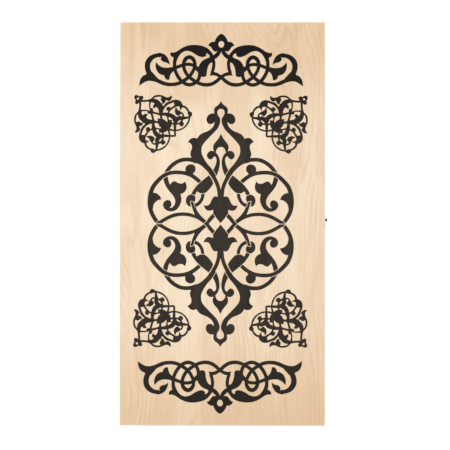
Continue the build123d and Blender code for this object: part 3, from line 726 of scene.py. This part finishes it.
def mesh_piece(name, points, faces, material, body, smooth_angle=None):
    """A finished piece from arrays of points (metres) and faces, riding on a CAD body."""
    mesh = bpy.data.meshes.new(name)
    mesh.from_pydata(points, [], faces)
    mesh.materials.append(material)
    if smooth_angle is not None:
        mesh.shade_smooth()
        mesh.set_sharp_from_angle(angle=smooth_angle)
    piece = bpy.data.objects.new(name, mesh)
    bpy.context.scene.collection.objects.link(piece)
    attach(piece, body)
    return piece


CURVE_STEP = 1.0
POINT_STEP = 3.0
GAP_HALF_WIDTH = 0.35
FAR_AWAY = 400.0


def smooth_curve(points, closed=False, step=CURVE_STEP):
    """A centripetal Catmull-Rom curve through the points, which may carry a width as well. On each span it is the
    cubic Hermite curve between two points whose tangents weigh the neighbouring chords by the square roots of their
    lengths, taken about every step of length."""
    p = np.array(points, float)
    p = np.vstack([p[-1:], p, p[:2]]) if closed else np.vstack([2 * p[:1] - p[1:2], p, 2 * p[-1:] - p[-2:-1]])
    chords = np.linalg.norm(np.diff(p[:, :2], axis=0), axis=1)
    counts = np.maximum(2, np.ceil(chords[1:-1] / step)).astype(int)
    span = np.repeat(np.arange(len(counts)), counts)
    t = (np.arange(counts.sum()) - np.repeat(np.cumsum(counts) - counts, counts)) / counts[span]
    t = t[:, None]
    weight = np.sqrt(chords) + 1e-6
    w1, w2, w3 = (weight[span + k][:, None] for k in range(3))
    p0, p1, p2, p3 = (p[span + k] for k in range(4))
    start = ((p1 - p0) / w1 - (p2 - p0) / (w1 + w2) + (p2 - p1) / w2) * w2
    end = ((p2 - p1) / w2 - (p3 - p1) / (w2 + w3) + (p3 - p2) / w3) * w2
    curve = (2 * t**3 - 3 * t**2 + 1) * p1 + (t**3 - 2 * t**2 + t) * start
    curve += (3 * t**2 - 2 * t**3) * p2 + (t**3 - t**2) * end
    return curve if closed else np.vstack([curve, p[-2:-1]])


def leaf_outline(points):
    """A closed outline, smooth through its points and turning sharply at those marked TIP: one smooth curve from
    each tip to the next."""
    xy = [point[:2] for point in points]
    tips = [index for index, point in enumerate(points) if len(point) > 2]
    if not tips:
        return smooth_curve(xy, closed=True)
    first = tips[0]
    xy = xy[first:] + xy[:first] + [xy[first]]
    cuts = [index - first for index in tips] + [len(xy) - 1]
    return np.vstack([smooth_curve(xy[a : b + 1])[:-1] for a, b in zip(cuts, cuts[1:])])


def strand_quads(points, step):
    """A strand as quads in a row: its centre line carried half a width to either side along its normal."""
    line = smooth_curve(points, step=step)
    along = np.gradient(line[:, :2], axis=0)
    along /= np.linalg.norm(along, axis=1)[:, None]
    offset = np.stack([-along[:, 1], along[:, 0]], 1) * line[:, 2:3]
    left, right = line[:, :2] + offset, line[:, :2] - offset
    return np.stack([left[:-1], left[1:], right[1:], right[:-1]], 1)


def filled(leaves=(), strands=(), windows=(), gaps=(), mirror_lines="xy", strand_step=CURVE_STEP):
    """One Delaunay fill of all the outlines together. A triangle is kept where it lies in a leaf or a strand, in no
    window or gap, and on the positive side of each mirror line. Returns points (millimetres) and triangles."""
    lines = [[(*point, GAP_HALF_WIDTH) for point in points] for points in gaps]
    inked = [leaf_outline(points) for points in leaves]
    inked += [quad for points in strands for quad in strand_quads(points, strand_step)]
    bare = [leaf_outline(points) for points in windows]
    bare += [quad for points in lines for quad in strand_quads(points, strand_step)]
    outlines = [counter_clockwise(outline) for outline in inked + bare]
    ends = np.cumsum([0] + [len(outline) for outline in outlines])
    rings = [list(range(a, b)) for a, b in zip(ends, ends[1:])]
    corners = np.array([(0, -FAR_AWAY), (0, FAR_AWAY), (-FAR_AWAY, 0), (FAR_AWAY, 0)], float)
    points = np.vstack(outlines + [corners])
    axis = {"x": (ends[-1], ends[-1] + 1), "y": (ends[-1] + 2, ends[-1] + 3)}
    edges = [tuple(int(i) for i in axis[line]) for line in mirror_lines]
    found = delaunay_2d_cdt([Vector(point) for point in points], edges, rings, 0, 1e-5)
    xy = np.array([tuple(vertex) for vertex in found[0]])
    triangles = np.array(found[2])
    limit = len(inked)
    kept = [bool(source) and min(source) < limit and max(source) < limit for source in found[5]]
    triangles = triangles[np.array(kept)]
    middle = xy[triangles].mean(axis=1)
    for column, line in enumerate("xy"):
        if line in mirror_lines:
            inside = middle[:, column] > 0
            triangles, middle = triangles[inside], middle[inside]
            xy[np.abs(xy[:, column]) < 1e-4, column] = 0.0
    return xy, triangles


def counter_clockwise(outline):
    """The outline turned to run counter-clockwise, by the sign of its area."""
    x, y = outline.T
    area = np.sum(x * np.roll(y, -1) - np.roll(x, -1) * y)
    return outline if area > 0 else outline[::-1]


def joined(figures):
    """Several filled figures as one, with points at the same place joined."""
    offsets = np.cumsum([0] + [len(xy) for xy, _ in figures])
    xy = np.vstack([xy for xy, _ in figures])
    triangles = np.vstack([triangles + offset for (_, triangles), offset in zip(figures, offsets)])
    places, index = np.unique(np.round(xy, 4) + 0.0, axis=0, return_inverse=True)
    triangles = index.reshape(-1)[triangles]
    whole = (triangles[:, 0] != triangles[:, 1]) & (triangles[:, 1] != triangles[:, 2])
    whole &= triangles[:, 0] != triangles[:, 2]
    used, index = np.unique(triangles[whole], return_inverse=True)
    return places[used], index.reshape(-1, 3)


def turned_over(figure, flips):
    """The figure once for each pair of signs, mirrored by them, as one."""
    xy, triangles = figure
    copies = [(xy * flip, triangles if flip[0] * flip[1] > 0 else triangles[:, ::-1]) for flip in flips]
    return joined(copies)


def placed(figure, turn, shift):
    """The figure turned about its middle and shifted."""
    xy, triangles = figure
    cosine, sine = math.cos(turn), math.sin(turn)
    turned = xy @ np.array([(cosine, sine), (-sine, cosine)])
    return turned + np.array(shift), triangles


def slab(figure, low, high):
    """A flat figure given thickness: its triangles at the high level, the same turned over at the low one, and a
    wall under each edge that only one triangle has. Levels in metres."""
    xy, triangles = figure
    count = len(xy)
    points = np.vstack([np.column_stack([xy * MM, np.full(count, level)]) for level in (high, low)])
    edges = np.vstack([triangles[:, [0, 1]], triangles[:, [1, 2]], triangles[:, [2, 0]]])
    code = np.sort(edges, axis=1) @ np.array([count, 1])
    _, index, uses = np.unique(code, return_inverse=True, return_counts=True)
    rim = edges[uses[index.reshape(-1)] == 1]
    a, b = rim.T
    walls = np.vstack([np.column_stack([b, a, a + count]), np.column_stack([b, a + count, b + count])])
    return points, np.vstack([triangles, triangles[:, ::-1] + count, walls])


# The lid's ornament


# The whole print sits a little off the lid's middle and is turned a little. Turns in radians but for the pendants.
ORNAMENT_MIDDLE = (-2.6, -0.4)
ORNAMENT_TURN = -0.0021
FRIEZE_PLACES = {"far": (-0.0012, -0.2, 0.0), "near": (0.0047, -1.4, 1.3)}  # turn, shift in X and Y
PENDANT_PLACES = {  # turn in degrees, middle in X and Y
    "far_latch_side": (45, 86.3, 148.5),
    "far_hinge_side": (135, -86.5, 148.9),
    "near_hinge_side": (225, -86.8, -140.7),
    "near_latch_side": (315, 86.5, -140.7),
}
INK_SUNK = 0.03 * MM


def medallion():
    """The medallion: its quarter filled and mirrored in both middle lines."""
    quarter = filled(MEDALLION_LEAVES.values(), MEDALLION_STRANDS.values(), gaps=MEDALLION_GAPS)
    return turned_over(quarter, [(1, 1), (-1, 1), (-1, -1), (1, -1)])


def frieze():
    """The far end's frieze: its half filled and mirrored in the case's long middle line."""
    half = filled(FRIEZE_LEAVES.values(), FRIEZE_STRANDS.values(), mirror_lines="x")
    return turned_over(half, [(1, 1), (-1, 1)])


def pendant():
    """A corner pendant: its half filled and mirrored in its own long axis."""
    half = filled(PENDANT_LEAVES.values(), windows=PENDANT_WINDOWS, gaps=PENDANT_GAPS, mirror_lines="y")
    return turned_over(half, [(1, 1), (1, -1)])


class BACKGAMMON_OT_lid_ornament(bpy.types.Operator):
    """Print the medallion, the two end friezes and the four corner pendants on the lid"""

    bl_idname = "backgammon.lid_ornament"
    bl_label = "Lid ornament"

    def execute(self, context):
        prints = context.scene.backgammon_print
        # The last two numbers paint the ornament darker at its far and near ends: painted shade
        ink = ink_finish("lid_ink_finish", prints.black, 0.08, 0.22, 0.58)
        top = frieze()
        corner = pendant()
        bottom = (top[0] * (1, -1), top[1][:, ::-1])
        figures = {"lid_medallion": medallion()}
        for end, shape in (("far", top), ("near", bottom)):
            turn, *shift = FRIEZE_PLACES[end]
            figures[f"lid_{end}_frieze"] = placed(shape, turn, shift)
        for place, (turn, *middle) in PENDANT_PLACES.items():
            figures[f"lid_pendant_{place}"] = placed(corner, math.radians(turn), middle)
        for name, figure in figures.items():
            figure = placed(figure, ORNAMENT_TURN, ORNAMENT_MIDDLE)
            points, faces = slab(figure, LID_TOP - INK_SUNK, LID_TOP + prints.thickness)
            mesh_piece(name, points, faces, ink, "upper_tray")
        return {"FINISHED"}


# The printed fields


POINTS_PER_END = 6
POINT_ROWS, VEIN_ROWS = 15, 6
POINT_TAPER = 1.08
POINT_BASE = FIELD_HALF_LENGTH / MM - 0.6
BUD_AT, BUD_LENGTH, BUD_HALF_WIDTH = 0.975, 0.018, 2.1
TIP_HALF_WIDTH = 0.35
VEIN_FROM, VEIN_TO, VEIN_INSET = 0.028, 0.80, 3.0
ROSETTE_PETALS = 8
PETAL = np.array([(0.42, 0.0), (0.60, 0.125), (0.80, 0.115), (1.0, 0.0), (0.80, -0.115), (0.60, -0.125)])
PETAL_MARKS = [(TIP,), (), (), (TIP,), (), ()]
RING_LINES = {"black": (0.33, 1.2), "brown": (1.09, 0.9)}  # share of the rosette's radius, half width of the line
BOSS_AT, BOSS_HALF_WIDTH = 0.12, 0.08  # shares of the rosette's radius


def field_point(x, end, length, half_width):
    """A field's point: a long triangle from the end rail with slightly hollow sides and a small bud at its tip.
    Its half width falls from the base as (1 - t) to the power POINT_TAPER and swells again at the bud."""
    t = np.linspace(0.0, 1.0, POINT_ROWS)
    bud = BUD_HALF_WIDTH * np.exp(-(((t - BUD_AT) / BUD_LENGTH) ** 2))
    width = half_width * (1 - t) ** POINT_TAPER * (t < 0.99) + bud + TIP_HALF_WIDTH
    return np.column_stack([np.full_like(t, x), end * (POINT_BASE - t * length), width])


def point_vein(x, end, length, half_width):
    """The bare lines inside a point, parallel with its sides."""
    veins = []
    for side in (-1, 1):
        t = np.linspace(VEIN_FROM, VEIN_TO, VEIN_ROWS)
        inset = side * np.maximum(half_width * (1 - t) ** POINT_TAPER - VEIN_INSET, 0.0)
        veins.append(list(zip(x + inset, end * (POINT_BASE - t * length))))
    foot = end * (POINT_BASE - VEIN_FROM * length)
    reach = half_width * (1 - VEIN_FROM) ** POINT_TAPER - VEIN_INSET
    veins.append([(x - reach, foot), (x, foot), (x + reach, foot)])
    return veins


def petals(radius, first, every):
    """Pointed petals round the middle of the field, each a leaf between two tips."""
    outlines = []
    for number in range(first, ROSETTE_PETALS, every):
        turn = 2 * math.pi * number / ROSETTE_PETALS
        along, across = (PETAL * radius).T
        x = along * math.cos(turn) - across * math.sin(turn)
        y = along * math.sin(turn) + across * math.cos(turn)
        outlines.append([(a, b, *mark) for a, b, mark in zip(x, y, PETAL_MARKS)])
    return outlines


def ring(radius, half_width):
    """A strand that closes on itself: points round a circle, every 15 degrees, the last two on the first two."""
    turn = np.radians(np.arange(0, 376, 15))
    return np.column_stack([radius * np.cos(turn), radius * np.sin(turn), np.full_like(turn, half_width)])


class BACKGAMMON_OT_field_print(bpy.types.Operator):
    """Print the twenty-four points and the rosettes on the fields of both trays"""

    bl_idname = "backgammon.field_print"
    bl_label = "Field print"

    def execute(self, context):
        prints = context.scene.backgammon_print
        inks = {
            "black": ink_finish("field_black_finish", shade(prints.black, 0.6), 0.10),
            "brown": ink_finish("field_brown_finish", prints.brown, 0.15),
        }
        levels = {
            "lower": (LOWER_FIELD - INK_SUNK, LOWER_FIELD + prints.thickness),
            "upper": (LID_FIELD - prints.thickness, LID_FIELD + INK_SUNK),
        }
        length, half_width = prints.point_length / MM, prints.point_width / MM / 2
        radius = prints.rosette_radius / MM
        pitch = 2 * FIELD_HALF_WIDTH / MM / POINTS_PER_END
        for shade_number, (colour, ink) in enumerate(inks.items()):
            columns = [
                (pitch * (column + 0.5) - FIELD_HALF_WIDTH / MM, end)
                for end in (1, -1)
                for column in range(POINTS_PER_END)
                if (column + (end < 0) + shade_number) % 2 == 0
            ]
            strands = [field_point(x, end, length, half_width) for x, end in columns]
            veins = [vein for x, end in columns for vein in point_vein(x, end, length, half_width)]
            share, line_half_width = RING_LINES[colour]
            strands.append(ring(radius * share, line_half_width))
            if colour == "black":
                strands.append(ring(radius * BOSS_AT, radius * BOSS_HALF_WIDTH))
            leaves = petals(radius, shade_number, 2)
            figure = filled(leaves, strands, gaps=veins, mirror_lines="", strand_step=POINT_STEP)
            for tray, (low, high) in levels.items():
                points, faces = slab(joined([figure]), low, high)
                name = f"{tray}_field_{colour}_print"
                mesh_piece(name, points, faces, ink, f"{tray}_tray")
        return {"FINISHED"}


# Case, hardware, checkers and dice


class BACKGAMMON_OT_case(bpy.types.Operator):
    """Finish the plywood panels and the birch rails of both trays"""

    bl_idname = "backgammon.case"
    bl_label = "Case"

    def execute(self, context):
        case = context.scene.backgammon_case
        dress(nodes_with("_panel"), ply_finish(case))
        dress(nodes_with("_rail_"), rail_finish(case))
        return {"FINISHED"}


class BACKGAMMON_OT_hardware(bpy.types.Operator):
    """Finish the hinges, their screws and the latch in blackened steel"""

    bl_idname = "backgammon.hardware"
    bl_label = "Hinges and latch"

    def execute(self, context):
        steel = steel_finish(context.scene.backgammon_case)
        dress(nodes_with("_hinge_lower_leaf") + nodes_with("_hinge_upper_leaf") + nodes_with("_hinge_pin"), steel)
        latch = ["latch_hook", "latch_pivot_screw", "latch_peg_screw"]
        dress(nodes_with("_hinge_screws") + latch, steel)
        return {"FINISHED"}


CHECKER_EDGE = 1.9
CHECKER_RIM = 4.2
CHECKER_DISH = 0.66
CHECKER_HOLLOW = 0.12
COVE_WIDTH = 0.6
GROOVES = ((12.95, 0.30, 1.0), (9.3, 0.42, 0.9), (8.1, 0.30, 0.6), (3.1, 0.42, 0.8))  # radius, width, share of depth
GROOVE_ROWS = np.array([1.7, 1.0, 0.45, 0.0, -0.45, -1.0, -1.7])
COVE_ROWS = np.array([0.1, -0.1, -0.3, -0.5, -0.7])
DISH_RADII = [10.4, 6.2, 4.6, 1.6, 0.8]


def checker_profile(radius, thickness, groove_depth):
    """The upper half of a checker's turned profile, from the middle of its side to its centre, as (radius, height)
    in millimetres. The side is flat with quarter-round edges; the rim falls by a cove into a dish; each groove is a
    bell-shaped dip. A fine row of radii keeps the grooves round."""
    turn = np.radians(np.linspace(0.0, 90.0, 8))
    side = [(radius, 0.0)]
    edge = np.column_stack([
        radius - CHECKER_EDGE * (1 - np.cos(turn)), thickness / 2 - CHECKER_EDGE * (1 - np.sin(turn))
    ])
    mouth = radius - CHECKER_RIM
    rows = [radius - CHECKER_EDGE - 0.25]
    for at, width, _ in GROOVES:
        rows += list(at + width * GROOVE_ROWS)
    rows += list(mouth + COVE_ROWS) + DISH_RADII
    r = np.array(sorted(set(np.round(rows, 3)), reverse=True))
    cove = np.clip((mouth - r) / COVE_WIDTH, 0.0, 1.0)
    depth = CHECKER_DISH * (3 * cove**2 - 2 * cove**3)
    depth += CHECKER_HOLLOW * np.clip(1 - r / (mouth - COVE_WIDTH), 0.0, 1.0)
    for at, width, share in GROOVES:
        depth += groove_depth * share * np.exp(-(((r - at) / width) ** 2))
    face = np.column_stack([r, thickness / 2 - depth])
    centre = [(0.0, thickness / 2 - CHECKER_DISH - CHECKER_HOLLOW)]
    return np.vstack([side, edge, face, centre])


def lathed(profile, steps):
    """A profile turned about the Z axis: a grid of radius and height against the angle, the poles closed by one
    point each. Returns points and faces."""
    r, z = profile[1:-1].T
    turn = 2 * math.pi * np.arange(steps) / steps
    grid = np.stack([
        r[:, None] * np.cos(turn), r[:, None] * np.sin(turn), np.repeat(z[:, None], steps, 1)
    ], axis=-1).reshape(-1, 3)
    poles = np.array([(0.0, 0.0, profile[0, 1]), (0.0, 0.0, profile[-1, 1])])
    rows = len(r)
    row, column = np.meshgrid(np.arange(rows - 1), np.arange(steps), indexing="ij")
    here, right = row * steps + column, row * steps + (column + 1) % steps
    quads = np.stack([here, right, right + steps, here + steps], -1).reshape(-1, 4)
    column = np.arange(steps)
    after = (column + 1) % steps
    bottom, top = rows * steps, rows * steps + 1
    last = (rows - 1) * steps
    caps = [(bottom, int(b), int(a)) for a, b in zip(column, after)]
    caps += [(top, int(last + a), int(last + b)) for a, b in zip(column, after)]
    return np.vstack([grid, poles]), [tuple(quad) for quad in quads.tolist()] + caps


class BACKGAMMON_OT_checkers(bpy.types.Operator):
    """Turn the thirty checkers, each with its own direction of grain"""

    bl_idname = "backgammon.checkers"
    bl_label = "Checkers"

    def execute(self, context):
        play = context.scene.backgammon_play
        finishes = {
            "light": checker_finish("light_checker_finish", play.light_wood, shade(play.light_wood, 0.66), 0.30),
            "dark": checker_finish("dark_checker_finish", play.dark_wood, shade(play.dark_wood, 0.45), 0.26),
        }
        random = np.random.default_rng(15)
        for colour, finish in finishes.items():
            for node in nodes_with(colour + "_checker_"):
                low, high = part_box(node)
                middle = (low + high) / 2
                radius, thickness = (high.x - low.x) / 2 / MM, (high.z - low.z) / MM
                upper = checker_profile(radius, thickness, play.groove_depth / MM)
                profile = np.vstack([upper[:0:-1] * (1, -1), upper])
                points, faces = lathed(profile, play.turn_steps)
                piece = mesh_piece(
                    "turned_" + node, points * MM + np.array(middle), faces, finish,
                    frame["nodes"][node]["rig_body"], math.radians(50),
                )
                turn, slope, offset, tone = random.uniform((0, -0.25, 0, 0), (math.pi, 0.25, 7, 0.3))
                along = np.array([math.cos(turn), math.sin(turn), slope])
                across = np.array([-math.sin(turn), math.cos(turn), 0.0])
                grain = np.column_stack([points @ across, points @ along, points[:, 2]]) * MM + offset
                attribute = piece.data.attributes.new("grain", "FLOAT_VECTOR", "POINT")
                attribute.data.foreach_set("vector", grain.ravel())
                attribute = piece.data.attributes.new("tone", "FLOAT", "POINT")
                attribute.data.foreach_set("value", np.full(len(points), tone))
                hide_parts(node)
        return {"FINISHED"}


PIP_RADIUS = 1.25
PIP_DEPTH = 0.5
PIP_SPACING = 3.4
PIP_RADII = np.array([0.0, 0.35, 0.65, 0.9, 1.07, 1.18])
PIP_STEPS = 20
COAT, COAT_SUNK, COAT_RADIUS = 0.07, 0.03, 1.2
DICE_TURNS = {"die_1": 17.0, "die_2": -28.0}
PIP_PLACES = {
    1: [(0, 0)],
    2: [(-1, 1), (1, -1)],
    3: [(-1, 1), (1, -1), (0, 0)],
    4: [(-1, 1), (1, -1), (-1, -1), (1, 1)],
    5: [(-1, 1), (1, -1), (-1, -1), (1, 1), (0, 0)],
    6: [(-1, 1), (1, -1), (-1, -1), (1, 1), (-1, 0), (1, 0)],
}
FACE_TURNS = {6: (0, 0), 1: (180, 0), 5: (90, 0), 2: (-90, 0), 4: (0, 90), 3: (0, -90)}


def pip_coat():
    """The paint in one pip: a thin coat on the dimple, which is part of a sphere, thinning out towards the brim as
    one less the square of the radius. A profile turned about Z, its level 0 at the die's face."""
    sphere = (PIP_RADIUS**2 + PIP_DEPTH**2) / (2 * PIP_DEPTH)
    dimple = -(np.sqrt(sphere**2 - PIP_RADII**2) - (sphere - PIP_DEPTH))
    coat = COAT * (1 - (PIP_RADII / COAT_RADIUS) ** 2)
    under = np.column_stack([PIP_RADII, dimple - COAT_SUNK])
    over = np.column_stack([PIP_RADII, dimple + coat])[::-1]
    return lathed(np.vstack([under, over]), PIP_STEPS)


class BACKGAMMON_OT_dice(bpy.types.Operator):
    """Finish the two dice and paint their pips"""

    bl_idname = "backgammon.dice"
    bl_label = "Dice"

    def execute(self, context):
        scene = context.scene
        dress(["die_1", "die_2"], die_finish(scene.backgammon_play))
        paint = ink_finish("pip_paint_finish", scene.backgammon_print.black, 0.45)
        points, faces = pip_coat()
        for die, turn in DICE_TURNS.items():
            low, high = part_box(die)
            middle = np.array((low + high) / 2)
            half = (high.z - low.z) / 2 / MM
            whole_turn = Euler((0, 0, math.radians(turn))).to_matrix()
            all_points, all_faces = [], []
            for count, (about_x, about_y) in FACE_TURNS.items():
                face_turn = Euler((math.radians(about_x), math.radians(about_y), 0)).to_matrix()
                matrix = np.array(whole_turn @ face_turn)
                for u, v in PIP_PLACES[count]:
                    offset = sum(len(block) for block in all_points)
                    at = np.array([u * PIP_SPACING, v * PIP_SPACING, half])
                    all_points.append(((points + at) @ matrix.T) * MM + middle)
                    all_faces += [tuple(index + offset for index in face) for face in faces]
            mesh_piece(
                die + "_pips", np.vstack(all_points), all_faces, paint,
                frame["nodes"][die]["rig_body"], math.radians(60),
            )
        return {"FINISHED"}


# Stage


FLOOR_REACH = 6.0
FLOOR_SQUARES = 4
LIGHT_PLACE = (-0.18, 0.05, 2.1)
LIGHT_SIZE = 1.4
CAMERA_PLACE = (0.01129, -0.0125, 1.41041)
CAMERA_TURN = (0.441, 0.310, 0.063)


def softbox(name, place, size, power):
    """A large square light that looks at the middle of the set and isn't seen itself."""
    light = bpy.data.lights.new(name, "AREA")
    light.shape = "SQUARE"
    light.size = size
    light.energy = power
    lamp = bpy.data.objects.new(name, light)
    lamp.location = place
    lamp.rotation_euler = (-Vector(place)).to_track_quat("-Z", "Y").to_euler()
    lamp.visible_camera = False
    bpy.context.scene.collection.objects.link(lamp)


class BACKGAMMON_OT_stage(bpy.types.Operator):
    """Lay the pale floor and set the lights and the camera"""

    bl_idname = "backgammon.stage"
    bl_label = "Stage"

    def execute(self, context):
        scene = context.scene
        stage = scene.backgammon_stage
        finish = Finish("floor_finish", Roughness=0.75, Specular_IOR_Level=0.15)
        finish.feed(finish.shader.inputs["Emission Color"], (1.0, 1.0, 1.0, 1.0))
        finish.feed(finish.shader.inputs["Emission Strength"], stage.floor_glow)
        tooth = finish.noise(finish.place, (420.0, 420.0, 420.0), 3.0, 0.6)
        tone = finish.mix(finish.span(tooth, 0.3, 0.7), stage.floor, shade(stage.floor, 0.985))
        finish.wear(tone, normal=finish.bump(tooth, 0.05 * MM, 0.3))
        mesh = bpy.data.meshes.new("floor")
        row = FLOOR_SQUARES + 1
        across = np.linspace(-FLOOR_REACH, FLOOR_REACH, row)
        x, y = np.meshgrid(across, across)
        points = np.column_stack([x.ravel(), y.ravel(), np.full(x.size, CAD_BOX[0][2])])
        here = (np.arange(FLOOR_SQUARES)[:, None] * row + np.arange(FLOOR_SQUARES)).ravel()
        mesh.from_pydata(points, [], np.stack([here, here + 1, here + row + 1, here + row], 1))
        mesh.materials.append(finish.material)
        floor = bpy.data.objects.new("floor", mesh)
        scene.collection.objects.link(floor)

        world = bpy.data.worlds.new("surrounding_light")
        world.use_nodes = True
        background = world.node_tree.nodes["Background"]
        background.inputs["Color"].default_value = (1.0, 1.0, 1.0, 1.0)
        background.inputs["Strength"].default_value = stage.sky_light
        scene.world = world
        softbox("overhead_light", LIGHT_PLACE, LIGHT_SIZE, stage.key_light)

        lens = bpy.data.cameras.new("camera")
        lens.sensor_width = 36.0
        lens.lens = stage.lens
        lens.clip_start = 0.01
        lens.clip_end = 100.0
        camera = bpy.data.objects.new("camera", lens)
        camera.location = CAMERA_PLACE
        camera.rotation_euler = [math.radians(angle) for angle in CAMERA_TURN]
        scene.collection.objects.link(camera)
        scene.camera = camera
        scene.view_settings.view_transform = "Standard"
        return {"FINISHED"}


class BACKGAMMON_PT_set(bpy.types.Panel):
    """The set's pieces and their settings"""

    bl_label = "Backgammon set"
    bl_idname = "BACKGAMMON_PT_set"
    bl_space_type = "VIEW_3D"
    bl_region_type = "UI"
    bl_category = "Backgammon"

    def draw(self, context):
        layout = self.layout
        for heading, group, operators in SECTIONS:
            box = layout.box()
            box.label(text=heading)
            settings = getattr(context.scene, group.scene_name)
            for label in group.__annotations__:
                box.prop(settings, label)
            for operator in operators:
                box.operator(operator.bl_idname)


CaseSettings.scene_name = "backgammon_case"
PrintSettings.scene_name = "backgammon_print"
PlaySettings.scene_name = "backgammon_play"
StageSettings.scene_name = "backgammon_stage"
SECTIONS = [
    ("Case", CaseSettings, [BACKGAMMON_OT_case, BACKGAMMON_OT_hardware]),
    ("Prints", PrintSettings, [BACKGAMMON_OT_lid_ornament, BACKGAMMON_OT_field_print]),
    ("Checkers and dice", PlaySettings, [BACKGAMMON_OT_checkers, BACKGAMMON_OT_dice]),
    ("Stage", StageSettings, [BACKGAMMON_OT_stage]),
]


def register():
    """Registers the settings, the operators and the panel."""
    for _, group, operators in SECTIONS:
        bpy.utils.register_class(group)
        setattr(bpy.types.Scene, group.scene_name, PointerProperty(type=group))
        for operator in operators:
            bpy.utils.register_class(operator)
    bpy.utils.register_class(BACKGAMMON_PT_set)


def unregister():
    """Takes them all away again, in the opposite order."""
    bpy.utils.unregister_class(BACKGAMMON_PT_set)
    for _, group, operators in reversed(SECTIONS):
        for operator in reversed(operators):
            bpy.utils.unregister_class(operator)
        delattr(bpy.types.Scene, group.scene_name)
        bpy.utils.unregister_class(group)


def main():
    register()
    bpy.ops.backgammon.stage()
    bpy.ops.backgammon.case()
    bpy.ops.backgammon.hardware()
    bpy.ops.backgammon.lid_ornament()
    bpy.ops.backgammon.field_print()
    bpy.ops.backgammon.checkers()
    bpy.ops.backgammon.dice()


if __name__ == "__main__":
    main()
